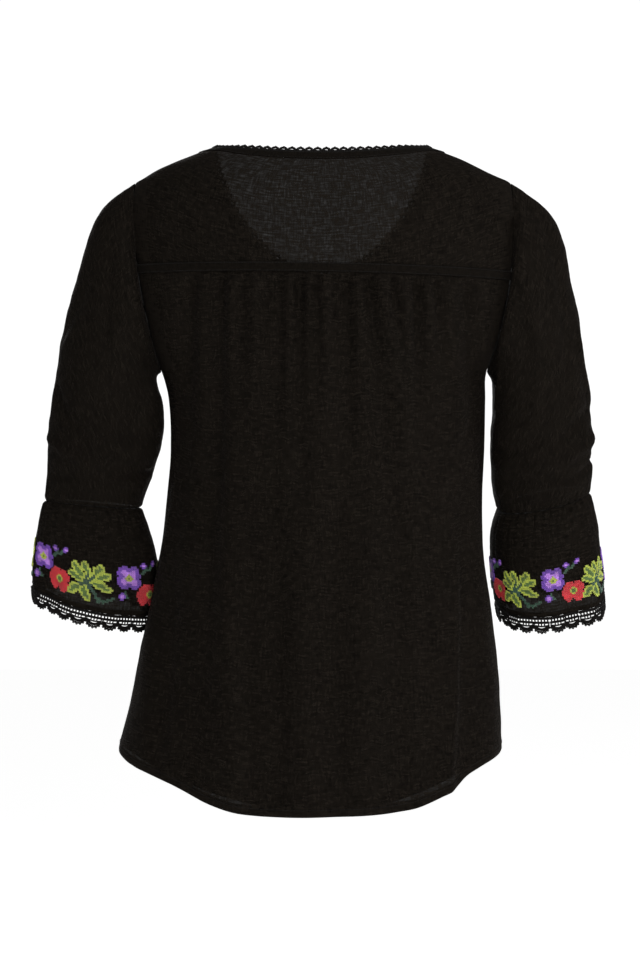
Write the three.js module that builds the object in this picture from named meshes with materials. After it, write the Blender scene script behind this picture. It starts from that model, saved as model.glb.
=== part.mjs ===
// A hip-length peasant blouse with three-quarter sleeves, in the hollow shape it takes when worn.
//
// Millimetres, +Z up. The wearer faces +Y, so the yoke and the gathered back are on the -Y side and the
// wearer's right sleeve is at +X. The origin is midway between the two neck points, where the shoulders
// carry the blouse.
//
// The body is described by rings round the torso: "turn" is the angle round a ring, 0 at the centre back,
// 90 at the wearer's right side and 180 at the centre front, and z is the height of the ring. Every edge
// of a body panel is a path of { turn, z } pairs, and a panel is the smooth patch between four such paths.

import * as THREE from "three";

// ---- Cloth and seams ----
const CLOTH = 1.2; // wall of one layer of cloth
const FOLDED = 2.0; // wall of the felled seam and of the neck binding, which are folded cloth
const LACE = 1.4; // wall of the crochet lace
const SEAM_GAP = 0.4; // between two pieces at a seam
const ARMHOLE_GAP = 1.7; // from the armhole edge to the sleeve, whose walls meet at an angle

// ---- Body: half-widths and half-depths of the rings round the torso ----
// Between shoulder tip and underarm the widths run on past the armhole, which cuts them off.
const BODY_RINGS = [
  { z: 14, left: 98, right: 98, back: 54, front: 50 },
  { z: 0, left: 111, right: 111, back: 60, front: 56 },
  { z: -5, left: 126, right: 125, back: 63, front: 59 },
  { z: -10, left: 138, right: 137, back: 67, front: 62 },
  { z: -20, left: 163, right: 158, back: 74, front: 68 },
  { z: -28, left: 177, right: 176, back: 79, front: 72 },
  { z: -34, left: 186, right: 188, back: 82, front: 75 },
  { z: -60, left: 199, right: 201, back: 92, front: 84 },
  { z: -90, left: 202, right: 205, back: 100, front: 93 },
  { z: -128, left: 199, right: 204, back: 106, front: 103 },
  { z: -170, left: 184, right: 191, back: 109, front: 109 },
  { z: -200, left: 171, right: 176, back: 110, front: 111 },
  { z: -222, left: 160, right: 164, back: 110, front: 112 },
  { z: -250, left: 153, right: 163, back: 110, front: 114 },
  { z: -300, left: 151, right: 162, back: 111, front: 116 },
  { z: -350, left: 155, right: 160, back: 113, front: 118 },
  { z: -400, left: 160, right: 161, back: 117, front: 121 },
  { z: -450, left: 168, right: 167, back: 122, front: 125 },
  { z: -500, left: 181, right: 174, back: 128, front: 130 },
  { z: -550, left: 191, right: 177, back: 135, front: 135 },
  { z: -600, left: 203, right: 179, back: 141, front: 139 },
  { z: -690, left: 210, right: 184, back: 149, front: 144 },
];

// ---- Armholes: how far out the armhole edge lies at each height ----
const SHOULDER_TIP_Z = -34;
const UNDERARM_Z = -222;
const ARMHOLE_EDGE = [
  { z: SHOULDER_TIP_Z, left: 186, right: 188 },
  { z: -80, left: 184, right: 187 },
  { z: -128, left: 180, right: 185 },
  { z: -172, left: 172, right: 178 },
  { z: UNDERARM_Z, left: 160, right: 164 },
];

// ---- Neckline ----
const NECK_SIDE_Z = 0; // at the neck points, on the ridge of the shoulders
const NECK_BACK_DROP = 11; // centre back below the neck points
const NECK_FRONT_DROP = 118; // bottom of the front scoop below the neck points
const SCOOP_SHAPE = 1.4; // how slowly the scoop leaves the shoulder; 1 is an ellipse
const BINDING_WIDTH = 9;
const NECK_LACE_HEIGHT = 7;

// ---- Yoke ----
const YOKE_SEAM_Z = -126; // middle of the felled seam at the centre back
const YOKE_SEAM_SLOPE = 0.018; // the seam sinks this much per millimetre towards the right
const YOKE_BAND_WIDTH = 9;
const FRONT_SEAM_NECK_Y = 24; // the yoke passes over the shoulder and ends this far forward of the neck point
const FRONT_SEAM_TIP_Z = -52; // where the forward shoulder seam meets the front of the armhole

// ---- Shirt-tail hem: height of the edge round each panel ----
const HEM_SIDE_Z = -595;
const BACK_HEM = [
  { turn: -90, z: HEM_SIDE_Z },
  { turn: -69, z: -606 },
  { turn: -46, z: -621 },
  { turn: -31, z: -639 },
  { turn: -20, z: -647 },
  { turn: 0, z: -648 },
  { turn: 28, z: -643 },
  { turn: 43, z: -629 },
  { turn: 54, z: -613 },
  { turn: 68, z: -603 },
  { turn: 90, z: HEM_SIDE_Z },
];
const FRONT_HEM_DROP = 86; // centre front below the side
const SCOOP_FADE = 2; // how soon the rows of the front panel forget the scoop

// ---- Gathers that hang from the yoke seam: the largest ones ----
// x where it starts, drift by the end of its reach, depth outwards (minus is a trough)
const BACK_GATHERS = [
  { x: -128, drift: -20, reach: 420, half: 17, depth: -9 },
  { x: -100, drift: -10, reach: 470, half: 14, depth: 6 },
  { x: -70, drift: -8, reach: 300, half: 14, depth: 5 },
  { x: -41, drift: -2, reach: 380, half: 13, depth: -7 },
  { x: -12, drift: -2, reach: 430, half: 15, depth: 6 },
  { x: 22, drift: 0, reach: 170, half: 12, depth: -4 },
  { x: 46, drift: 32, reach: 330, half: 14, depth: -8 },
  { x: 80, drift: 26, reach: 400, half: 15, depth: 6 },
  { x: 128, drift: 18, reach: 360, half: 18, depth: -7 },
];
const GATHER_START = 14; // a fold reaches its full depth this far below the seam

// ---- Sleeves: sections from the armhole to the gathered seam, and on down the flounce ----
// out and in are the outer and inner points of a section, depth is its half-size along Y,
// forward is how far its centre lies in front of the shoulder, dip is how much lower its back hangs.
const SLEEVES = {
  right: [
    { outX: 203, outZ: -44, inX: 169, inZ: -227, depth: 57, forward: 0, dip: 0 },
    { outX: 223, outZ: -60, inX: 170.5, inZ: -232, depth: 60, forward: 0, dip: 0 },
    { outX: 237, outZ: -84, inX: 171, inZ: -239, depth: 60, forward: 1, dip: 0 },
    { outX: 247, outZ: -120, inX: 171, inZ: -249, depth: 59, forward: 3, dip: 0 },
    { outX: 255, outZ: -165, inX: 170.5, inZ: -264, depth: 57, forward: 6, dip: 1 },
    { outX: 262, outZ: -212, inX: 169, inZ: -284, depth: 55, forward: 9, dip: 2 },
    { outX: 267, outZ: -256, inX: 169, inZ: -306, depth: 53, forward: 13, dip: 4 },
    { outX: 270, outZ: -292, inX: 170, inZ: -327, depth: 51, forward: 17, dip: 6 },
    { outX: 271, outZ: -319, inX: 173, inZ: -345, depth: 49, forward: 20, dip: 8 },
    { outX: 269, outZ: -341, inX: 178, inZ: -360, depth: 46, forward: 23, dip: 9 },
    { outX: 276, outZ: -364, inX: 172, inZ: -383, depth: 50, forward: 28, dip: 10 },
    { outX: 281, outZ: -392, inX: 172, inZ: -409, depth: 52, forward: 33, dip: 12 },
    { outX: 285, outZ: -420, inX: 175, inZ: -434, depth: 53, forward: 38, dip: 14 },
    { outX: 287, outZ: -443, inX: 179, inZ: -455, depth: 53, forward: 42, dip: 16 },
    { outX: 288, outZ: -460, inX: 182, inZ: -472, depth: 53, forward: 45, dip: 17 },
  ],
  left: [
    { outX: 201, outZ: -43, inX: 164.8, inZ: -227, depth: 57, forward: 0, dip: 0 },
    { outX: 219, outZ: -60, inX: 165, inZ: -232, depth: 60, forward: 0, dip: 0 },
    { outX: 232, outZ: -85, inX: 163.5, inZ: -239, depth: 60, forward: 1, dip: 0 },
    { outX: 243, outZ: -121, inX: 160, inZ: -249, depth: 60, forward: 3, dip: 0 },
    { outX: 255, outZ: -164, inX: 159, inZ: -263, depth: 58, forward: 6, dip: 1 },
    { outX: 264, outZ: -208, inX: 160, inZ: -282, depth: 56, forward: 9, dip: 1 },
    { outX: 271, outZ: -252, inX: 164, inZ: -303, depth: 54, forward: 13, dip: 2 },
    { outX: 275, outZ: -291, inX: 170, inZ: -324, depth: 51, forward: 17, dip: 2 },
    { outX: 276, outZ: -322, inX: 177, inZ: -342, depth: 49, forward: 20, dip: 2 },
    { outX: 279, outZ: -350, inX: 183, inZ: -358, depth: 46, forward: 24, dip: 2 },
    { outX: 285, outZ: -368, inX: 176, inZ: -378, depth: 51, forward: 30, dip: 5 },
    { outX: 289, outZ: -390, inX: 168, inZ: -406, depth: 54, forward: 37, dip: 8 },
    { outX: 291, outZ: -413, inX: 165, inZ: -434, depth: 55, forward: 44, dip: 11 },
    { outX: 291, outZ: -433, inX: 170, inZ: -461, depth: 55, forward: 49, dip: 13 },
    { outX: 290, outZ: -450, inX: 175, inZ: -479, depth: 55, forward: 52, dip: 14 },
  ],
};
const SLEEVE_SQUARENESS = 0.8; // 1 is an ellipse, and less is squarer
const GATHERED_SEAM = 9; // the row of the gathered seam
const FLOUNCE_END = 13; // the row where the flounce's cloth ends and its lace begins
const LACE_END = 14;

// ---- How finely each piece is faceted ----
const SEAM_STEPS = 30; // columns along the yoke seam
const TIP_STEPS = 7; // columns round the end of a shoulder
const YOKE_ROWS = 7;
const ARMHOLE_ROWS = 7; // down the armhole of a body panel
const SIDE_ROWS = 9; // down its side seam
const SCOOP_STEPS = 24;
const SLEEVE_STEPS = 24; // columns round a sleeve
const PATH_STEPS = 240; // straight steps that a path is measured with

const COTTON = new THREE.MeshStandardMaterial({ color: 0x17120f, roughness: 0.9, metalness: 0 });
const BINDING_COTTON = new THREE.MeshStandardMaterial({ color: 0x100d0b, roughness: 0.92, metalness: 0 });
const CROCHET = new THREE.MeshStandardMaterial({ color: 0x0e0c0b, roughness: 0.85, metalness: 0 });

const RADIANS = Math.PI / 180;
const mix = (a, b, t) => a + (b - a) * t;
const smooth = (t) => t * t * (3 - 2 * t);
const clamp01 = (t) => Math.min(1, Math.max(0, t));

// The value of a column at one key of a table, on a smooth curve through the rows.
function profile(rows, key, at, column) {
  const rising = rows[rows.length - 1][key] > rows[0][key];
  let i = rows.findIndex((row) => (rising ? row[key] > at : row[key] < at)) - 1;
  if (i < -1) i = rows.length - 2;
  i = Math.min(rows.length - 2, Math.max(0, i));
  const slope = (j) => {
    const a = rows[Math.max(0, j - 1)];
    const b = rows[Math.min(rows.length - 1, j + 1)];
    return (b[column] - a[column]) / (b[key] - a[key]);
  };
  const a = rows[i];
  const b = rows[i + 1];
  const span = b[key] - a[key];
  const t = clamp01((at - a[key]) / span);
  const bend = t * (1 - t) * span;
  return mix(a[column], b[column], smooth(t)) + bend * ((1 - t) * slope(i) - t * slope(i + 1));
}

// ---- Points on the body ----

const sideOf = (turn) => (Math.sin(turn * RADIANS) < 0 ? "left" : "right");
const faceOf = (turn) => (Math.cos(turn * RADIANS) > 0 ? "back" : "front");

function bodyPoint({ turn, z }) {
  const across = profile(BODY_RINGS, "z", z, sideOf(turn)) * Math.sin(turn * RADIANS);
  const behind = profile(BODY_RINGS, "z", z, faceOf(turn)) * Math.cos(turn * RADIANS);
  return new THREE.Vector3(across, -behind, z);
}

// The turn at which the ring of height z lies x to the side.
function turnAt(x, z, face) {
  const half = profile(BODY_RINGS, "z", z, x < 0 ? "left" : "right");
  const turn = Math.asin(Math.min(1, Math.max(-1, x / half))) / RADIANS;
  return face === "back" ? turn : 180 - turn;
}

const signOf = (side) => (side === "left" ? -1 : 1);

// A point of the armhole edge: 0 at the shoulder tip, 180 at the underarm, by the back or by the front.
function armhole(side, face, degrees) {
  const z = mix(SHOULDER_TIP_Z, UNDERARM_Z, (1 - Math.cos(degrees * RADIANS)) / 2);
  const x = signOf(side) * profile(ARMHOLE_EDGE, "z", z, side);
  return { turn: turnAt(x, z, face), z };
}

function armholeDegreesAt(z) {
  return Math.acos(1 - (2 * (z - SHOULDER_TIP_Z)) / (UNDERARM_Z - SHOULDER_TIP_Z)) / RADIANS;
}

// A point of the neckline: 0 at the centre back, 90 at the right neck point, 180 at the centre front,
// and lower is how far below the edge it lies, measured down the body.
function neckline(degrees, lower = 0) {
  const across = Math.sin(degrees * RADIANS);
  const along = Math.cos(degrees * RADIANS);
  const drop = along > 0 ? NECK_BACK_DROP * along ** 2 : NECK_FRONT_DROP * Math.abs(along) ** SCOOP_SHAPE;
  const z = NECK_SIDE_Z - drop;
  const x = profile(BODY_RINGS, "z", NECK_SIDE_Z, "right") * across;
  const edge = { turn: turnAt(x, z, along > 0 ? "back" : "front"), z };
  if (lower === 0) return edge;
  return below(edge, neckline(degrees - 0.5), neckline(degrees + 0.5), lower);
}

// The point of the body that lies a distance from an edge point, square to the edge and away from the neck.
function below(edge, before, after, distance) {
  const at = bodyPoint(edge);
  const along = bodyPoint(after).sub(bodyPoint(before)).normalize();
  const step = 0.5;
  const byTurn = bodyPoint({ turn: edge.turn + step, z: edge.z }).sub(at);
  const byZ = bodyPoint({ turn: edge.turn, z: edge.z - step }).sub(at);
  const normal = byTurn.clone().cross(byZ).normalize();
  const away = along.clone().cross(normal).normalize();
  if (away.dot(byZ) < 0) away.negate();
  // Solves away * distance as a sum of the two steps.
  const [tt, tz, zz] = [byTurn.dot(byTurn), byTurn.dot(byZ), byZ.dot(byZ)];
  const [wt, wz] = [away.dot(byTurn) * distance, away.dot(byZ) * distance];
  const area = tt * zz - tz * tz;
  return {
    turn: edge.turn + (step * (wt * zz - wz * tz)) / area,
    z: edge.z - (step * (wz * tt - wt * tz)) / area,
  };
}

// ---- Paths on the body ----

// The count + 1 places, as shares from 0 to 1, that lie evenly along a path given as a function of the share.
function evenShares(path, count) {
  const fine = Array.from({ length: PATH_STEPS + 1 }, (_, i) => path(i / PATH_STEPS));
  const lengths = [0];
  for (let i = 1; i <= PATH_STEPS; i++) {
    lengths.push(lengths[i - 1] + bodyPoint(fine[i]).distanceTo(bodyPoint(fine[i - 1])));
  }
  return Array.from({ length: count + 1 }, (_, i) => {
    const goal = (lengths[PATH_STEPS] * i) / count;
    let j = lengths.findIndex((length) => length >= goal - 1e-9);
    j = Math.max(1, j);
    const t = clamp01((goal - lengths[j - 1]) / (lengths[j] - lengths[j - 1]));
    return (j - 1 + t) / PATH_STEPS;
  });
}

const spaced = (path, count) => evenShares(path, count).map(path);

const joined = (...paths) => paths.flatMap((path, i) => (i ? path.slice(1) : path));
const between = (from, to) => (t) => ({ turn: mix(from.turn, to.turn, t), z: mix(from.z, to.z, t) });

// The patch between four edges, as rows of { turn, z }. top and bottom run left to right, sides downwards,
// and a higher fade makes the rows forget the shape of the top sooner.
function patch(top, bottom, left, right, fade = 1) {
  const [columns, rows] = [top.length - 1, left.length - 1];
  return left.map((_, j) =>
    top.map((_, i) => {
      const [u, v] = [i / columns, 1 - (1 - j / rows) ** fade];
      const blend = (key) =>
        mix(top[i][key], bottom[i][key], v) +
        mix(left[j][key], right[j][key], u) -
        mix(mix(top[0][key], top[columns][key], u), mix(bottom[0][key], bottom[columns][key], u), v);
      return { turn: blend("turn"), z: blend("z") };
    }),
  );
}

// ---- Walls of cloth ----

// The outward normal at each point of a grid of points; a tube's first and last columns are neighbours.
function normalsOf(grid, tube) {
  const columns = grid[0].length;
  return grid.map((row, j) =>
    row.map((_, i) => {
      const before = tube ? (i + columns - 1) % columns : Math.max(0, i - 1);
      const after = tube ? (i + 1) % columns : Math.min(columns - 1, i + 1);
      const across = row[after].clone().sub(row[before]);
      const down = grid[Math.min(grid.length - 1, j + 1)][i].clone().sub(grid[Math.max(0, j - 1)][i]);
      return down.cross(across).normalize();
    }),
  );
}

// A closed wall of even thickness whose middle is the grid. Rows run downwards and, seen from outside,
// columns run from left to right.
function wall(grid, thickness, tube = false, normals = normalsOf(grid, tube)) {
  const [rows, columns] = [grid.length, grid[0].length];
  const moved = (share) => grid.map((row, j) => row.map((p, i) => p.clone().addScaledVector(normals[j][i], share)));
  const layers = [moved(thickness / 2), moved(-thickness / 2)];
  const positions = layers.flat(2).flatMap((p) => p.toArray());
  const index = (layer, j, i) => layer * rows * columns + j * columns + (i % columns);
  const triangles = [];
  const quad = (a, b, c, d) => triangles.push(a, b, c, a, c, d);
  const spans = tube ? columns : columns - 1;
  for (let j = 0; j < rows - 1; j++) {
    for (let i = 0; i < spans; i++) {
      quad(index(0, j, i), index(0, j + 1, i), index(0, j + 1, i + 1), index(0, j, i + 1));
      quad(index(1, j, i), index(1, j, i + 1), index(1, j + 1, i + 1), index(1, j + 1, i));
    }
  }
  for (let i = 0; i < spans; i++) {
    quad(index(0, 0, i), index(0, 0, i + 1), index(1, 0, i + 1), index(1, 0, i));
    quad(index(0, rows - 1, i), index(1, rows - 1, i), index(1, rows - 1, i + 1), index(0, rows - 1, i + 1));
  }
  for (let j = 0; j < rows - 1 && !tube; j++) {
    quad(index(0, j, 0), index(1, j, 0), index(1, j + 1, 0), index(0, j + 1, 0));
    const last = columns - 1;
    quad(index(0, j, last), index(0, j + 1, last), index(1, j + 1, last), index(1, j, last));
  }
  const geometry = new THREE.BufferGeometry();
  geometry.setAttribute("position", new THREE.Float32BufferAttribute(positions, 3));
  geometry.setIndex(triangles);
  return geometry;
}

const blouse = new THREE.Group();

function addPiece(name, geometry, material) {
  geometry.computeVertexNormals();
  const mesh = new THREE.Mesh(geometry, material);
  mesh.name = name;
  blouse.add(mesh);
}

const onBody = (patchRows) => patchRows.map((row) => row.map(bodyPoint));

// Pieces that meet on the body share its normals, so that their walls stand in line.
const bodyNormals = (patchRows) => patchRows.map((row) => row.map(bodyNormal));

function bodyNormal({ turn, z }) {
  const across = bodyPoint({ turn: turn + 0.5, z }).sub(bodyPoint({ turn: turn - 0.5, z }));
  const down = bodyPoint({ turn, z: z - 0.5 }).sub(bodyPoint({ turn, z: z + 0.5 }));
  return down.cross(across).normalize();
}

const bodyWall = (patchRows, thickness, tube = false) =>
  wall(onBody(patchRows), thickness, tube, bodyNormals(patchRows));

// ---- Seams that several pieces share ----

const NECK_EDGE = BINDING_WIDTH + SEAM_GAP; // the panels stop this far short of the neckline
const SIDE_TURN = 90;
const SIDE_GAP_TURN = 0.1; // half the gap of the side seams, as a turn

// The neck angle at which the forward shoulder seam leaves the neckline.
function frontSeamDegrees() {
  let degrees = 90;
  while (bodyPoint(neckline(degrees, NECK_EDGE)).y < FRONT_SEAM_NECK_Y) degrees += 0.1;
  return degrees;
}
const FRONT_SEAM_DEGREES = frontSeamDegrees();
const FRONT_SEAM_ARM_DEGREES = armholeDegreesAt(FRONT_SEAM_TIP_Z);

// The neck angles of the columns along the yoke and along the scoop, evenly spaced on each.
function neckColumns(from, to, count) {
  const degrees = (t) => mix(from, to, t);
  return evenShares((t) => neckline(degrees(t), NECK_EDGE), count).map(degrees);
}
const YOKE_NECK = neckColumns(-FRONT_SEAM_DEGREES, FRONT_SEAM_DEGREES, 2 * TIP_STEPS + SEAM_STEPS);
const SCOOP_NECK = neckColumns(FRONT_SEAM_DEGREES, 360 - FRONT_SEAM_DEGREES, SCOOP_STEPS);

// Turns past the centre front, counted back from the centre back instead.
const fromLeft = (p) => ({ turn: p.turn - 360, z: p.z });

// The middle line of the felled yoke seam, or a line below it, from the left armhole to the right one.
function yokeSeam(lower) {
  const [left, right] = ["left", "right"].map((side) => yokeSeamEnd(side, lower));
  const z = (t) => mix(left.z, right.z, t);
  const x = (t) => mix(bodyPoint(left).x, bodyPoint(right).x, t);
  return (t) => ({ turn: turnAt(x(t), z(t), "back"), z: z(t) });
}

function yokeSeamEnd(side, lower) {
  const x = signOf(side) * profile(ARMHOLE_EDGE, "z", YOKE_SEAM_Z, side);
  return armhole(side, "back", armholeDegreesAt(YOKE_SEAM_Z - YOKE_SEAM_SLOPE * x - lower));
}

// The forward shoulder seam from the neck to the armhole, or a line ahead of it.
function frontSeam(side, ahead) {
  const neckEnd = neckline(side === "left" ? 360 - FRONT_SEAM_DEGREES : FRONT_SEAM_DEGREES, NECK_EDGE);
  const armEnd = armhole(side, "front", FRONT_SEAM_ARM_DEGREES);
  const seam = between(neckEnd, armEnd);
  return (t) => below(seam(t), seam(t - 0.01), seam(t + 0.01), ahead);
}

// ---- Back yoke, with the forward shoulder seams as its sides ----

function backYoke() {
  const lower = -(YOKE_BAND_WIDTH / 2 + SEAM_GAP);
  // Round the armhole from the forward shoulder seam, over the shoulder, to the yoke seam.
  const overShoulder = (side) => {
    const corner = armholeDegreesAt(yokeSeamEnd(side, lower).z);
    return (t) => {
      const degrees = mix(-FRONT_SEAM_ARM_DEGREES, corner, t);
      if (degrees >= 0) return armhole(side, "back", degrees);
      const p = armhole(side, "front", -degrees);
      return side === "left" ? fromLeft(p) : p;
    };
  };
  const bottom = joined(
    spaced(overShoulder("left"), TIP_STEPS),
    spaced(yokeSeam(lower), SEAM_STEPS),
    spaced((t) => overShoulder("right")(1 - t), TIP_STEPS),
  );
  const top = YOKE_NECK.map((degrees) => {
    const p = neckline(degrees, NECK_EDGE);
    return degrees < -90 ? fromLeft(p) : p;
  });
  const left = spaced((t) => fromLeft(frontSeam("left", -SEAM_GAP / 2)(t)), YOKE_ROWS);
  const right = spaced(frontSeam("right", -SEAM_GAP / 2), YOKE_ROWS);
  addPiece("back_yoke", bodyWall(patch(top, bottom, left, right), CLOTH), COTTON);
}

function yokeSeamBand() {
  const edge = (lower) => spaced(yokeSeam(lower), SEAM_STEPS);
  const half = YOKE_BAND_WIDTH / 2;
  const [top, bottom] = [edge(-half), edge(half)];
  addPiece("yoke_seam_band", bodyWall([top, bottom], FOLDED), COTTON);
}

// ---- Back panel, gathered into the yoke seam ----

// Down the armhole and the side seam of a body panel.
function panelSide(side, face, fromDegrees) {
  const seamTurn = face === "back" ? SIDE_TURN - SIDE_GAP_TURN : SIDE_TURN + SIDE_GAP_TURN;
  const clear = (p) => {
    const away = Math.abs(p.turn > 180 ? p.turn - 360 : p.turn);
    const kept = face === "back" ? Math.min(away, seamTurn) : Math.max(away, seamTurn);
    const turn = signOf(side) * kept;
    return { turn: face === "front" && side === "left" ? turn + 360 : turn, z: p.z };
  };
  const arm = (t) => clear(armhole(side, face, mix(fromDegrees, 180, t)));
  const seam = (t) => clear({ turn: signOf(side) * SIDE_TURN, z: mix(UNDERARM_Z, HEM_SIDE_Z, t) });
  return joined(spaced(arm, ARMHOLE_ROWS), spaced(seam, SIDE_ROWS));
}

function gatherDepth(point, seamZ) {
  const fallen = seamZ - point.z;
  return BACK_GATHERS.reduce((sum, gather) => {
    const share = clamp01(fallen / gather.reach);
    const across = (point.x - gather.x - gather.drift * share) / gather.half;
    const full = smooth(clamp01(fallen / GATHER_START)) * (1 - smooth(share));
    return sum + gather.depth * full * Math.exp(-(across ** 2));
  }, 0);
}

function backPanel() {
  const lower = YOKE_BAND_WIDTH / 2 + SEAM_GAP;
  const hem = (t) => {
    const turn = mix(-SIDE_TURN + SIDE_GAP_TURN, SIDE_TURN - SIDE_GAP_TURN, t);
    return { turn, z: profile(BACK_HEM, "turn", turn, "z") };
  };
  const sides = ["left", "right"].map((side) =>
    panelSide(side, "back", armholeDegreesAt(yokeSeamEnd(side, lower).z)),
  );
  const rows = patch(spaced(yokeSeam(lower), SEAM_STEPS), spaced(hem, SEAM_STEPS), ...sides);
  const flat = onBody(rows);
  const normals = bodyNormals(rows);
  const gathered = flat.map((row, j) =>
    row.map((p, i) => p.clone().addScaledVector(normals[j][i], gatherDepth(p, flat[0][i].z))),
  );
  addPiece("back_panel", wall(gathered, CLOTH, false, normals), COTTON);
}

// ---- Front panel, with its scoop ----

function frontPanel() {
  const top = joined(
    spaced((t) => frontSeam("right", SEAM_GAP / 2)(1 - t), YOKE_ROWS),
    SCOOP_NECK.map((degrees) => neckline(degrees, NECK_EDGE)),
    spaced(frontSeam("left", SEAM_GAP / 2), YOKE_ROWS),
  );
  const hem = (t) => {
    const turn = mix(SIDE_TURN + SIDE_GAP_TURN, 360 - SIDE_TURN - SIDE_GAP_TURN, t);
    return { turn, z: HEM_SIDE_Z - FRONT_HEM_DROP * Math.abs(Math.cos(turn * RADIANS)) ** 1.7 };
  };
  const sides = ["right", "left"].map((side) => panelSide(side, "front", FRONT_SEAM_ARM_DEGREES));
  const rows = patch(top, spaced(hem, top.length - 1), ...sides, SCOOP_FADE);
  addPiece("front_panel", bodyWall(rows, CLOTH), COTTON);
}

// ---- Neck binding and the crochet edging that stands on it ----

function neckTrim(name, fromLower, toLower, rows, thickness, material) {
  const grid = Array.from({ length: rows + 1 }, (_, j) => {
    const lower = mix(fromLower, toLower, j / rows);
    return [...YOKE_NECK, ...SCOOP_NECK.slice(1, -1)].map((degrees) => neckline(degrees, lower || 1e-6));
  });
  addPiece(name, bodyWall(grid, thickness, true), material);
}

// ---- Sleeves ----

// Each column's angle down from the shoulder tip, and the face of the sleeve that it lies on.
function sleeveColumn(side, i) {
  const round = (360 * i) / SLEEVE_STEPS;
  const down = side === "right" ? Math.abs(180 - round) : 180 - Math.abs(180 - round);
  return { down, face: round <= 180 ? "back" : "front" };
}

function sleeveGrid(side) {
  const sign = signOf(side);
  const columns = Array.from({ length: SLEEVE_STEPS }, (_, i) => sleeveColumn(side, i));
  const armholeRing = columns.map(({ down, face }) => {
    const p = bodyPoint(armhole(side, face, down));
    return p.setX(p.x + sign * ARMHOLE_GAP);
  });
  const rings = SLEEVES[side].map((section) =>
    columns.map(({ down, face }) => {
      const outward = Math.cos(down * RADIANS);
      const behind = Math.abs(Math.sin(down * RADIANS)) ** SLEEVE_SQUARENESS * (face === "back" ? 1 : -1);
      const x = mix(section.inX, section.outX, (1 + outward) / 2);
      const z = mix(section.inZ, section.outZ, (1 + outward) / 2);
      const y = section.forward - section.depth * behind;
      return new THREE.Vector3(sign * x, y, z - section.dip * behind);
    }),
  );
  return [armholeRing, ...rings];
}

// The piece of a sleeve between two rows, which stops short of the last row by the gap of a seam.
function sleevePart(name, { rings, normals }, from, to, thickness, material) {
  const rows = rings.slice(from, to + 1);
  const short = rows[to - from].map((p, i) => {
    const back = rows[to - from - 1][i].clone().sub(p).normalize();
    return p.clone().addScaledVector(back, SEAM_GAP);
  });
  const grid = [...rows.slice(0, -1), short];
  addPiece(name, wall(grid, thickness, true, normals.slice(from, to + 1)), material);
}

function sleeve(side) {
  const rings = sleeveGrid(side);
  const whole = { rings, normals: normalsOf(rings, true) };
  const [seam, lace, end] = [GATHERED_SEAM + 1, FLOUNCE_END + 1, LACE_END + 1];
  sleevePart(`sleeve_${side}`, whole, 0, seam, CLOTH, COTTON);
  sleevePart(`flounce_${side}`, whole, seam, lace, CLOTH, COTTON);
  sleevePart(`cuff_lace_${side}`, whole, lace, end, LACE, CROCHET);
}

backYoke();
yokeSeamBand();
backPanel();
frontPanel();
neckTrim("neck_binding", 0, BINDING_WIDTH, 2, FOLDED, BINDING_COTTON);
neckTrim("neck_lace", -NECK_LACE_HEIGHT, -SEAM_GAP, 2, LACE, CROCHET);
sleeve("left");
sleeve("right");

export default blouse;
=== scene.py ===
"""A black semi-sheer peasant blouse in its worn shape: gathered back, embroidered flounces, crochet edging.

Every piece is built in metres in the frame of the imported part. +Z is up, the wearer faces +Y and the
wearer's right sleeve is at +X, so the yoke and the gathered back look towards -Y.
"""

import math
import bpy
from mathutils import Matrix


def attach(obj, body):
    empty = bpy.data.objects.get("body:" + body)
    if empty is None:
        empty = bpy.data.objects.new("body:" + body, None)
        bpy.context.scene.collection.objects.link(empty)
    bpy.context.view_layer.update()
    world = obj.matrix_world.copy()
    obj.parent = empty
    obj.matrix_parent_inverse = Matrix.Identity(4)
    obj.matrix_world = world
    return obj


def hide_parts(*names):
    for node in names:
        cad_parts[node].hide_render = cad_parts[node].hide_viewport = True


bl_info = {
    "name": "Peasant Blouse",
    "version": (1, 0, 0),
    "blender": (4, 5, 0),
    "location": "View3D > Sidebar > Blouse",
    "description": "Builds a gathered voile blouse with cross-stitched flounces and crochet lace",
    "category": "Add Mesh",
}

import bpy
from bpy.props import FloatProperty, FloatVectorProperty, PointerProperty
from mathutils import Matrix, Vector, noise

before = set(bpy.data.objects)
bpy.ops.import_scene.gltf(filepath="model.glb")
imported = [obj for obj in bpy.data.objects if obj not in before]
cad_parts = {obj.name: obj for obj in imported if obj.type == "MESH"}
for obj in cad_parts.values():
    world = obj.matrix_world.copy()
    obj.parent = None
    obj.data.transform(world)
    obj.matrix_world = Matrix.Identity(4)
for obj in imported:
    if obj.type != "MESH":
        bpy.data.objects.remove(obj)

MM = 0.001
TAU = 2 * math.pi

# ---- Sizes of the cut, as the solids have them, in millimetres ----

# Rings round the torso: height, half-widths to the left and right, half-depths behind and in front.
BODY_RINGS = [
    (14, 98, 98, 54, 50),
    (0, 111, 111, 60, 56),
    (-5, 126, 125, 63, 59),
    (-10, 138, 137, 67, 62),
    (-20, 163, 158, 74, 68),
    (-28, 177, 176, 79, 72),
    (-34, 186, 188, 82, 75),
    (-60, 199, 201, 92, 84),
    (-90, 202, 205, 100, 93),
    (-128, 199, 204, 106, 103),
    (-170, 184, 191, 109, 109),
    (-200, 171, 176, 110, 111),
    (-222, 160, 164, 110, 112),
    (-250, 153, 163, 110, 114),
    (-300, 151, 162, 111, 116),
    (-350, 155, 160, 113, 118),
    (-400, 160, 161, 117, 121),
    (-450, 168, 167, 122, 125),
    (-500, 181, 174, 128, 130),
    (-550, 191, 177, 135, 135),
    (-600, 203, 179, 141, 139),
    (-690, 210, 184, 149, 144),
]
LEFT, RIGHT, BACK, FRONT = 1, 2, 3, 4  # columns of BODY_RINGS; ARMHOLE_EDGE has the first two

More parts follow.
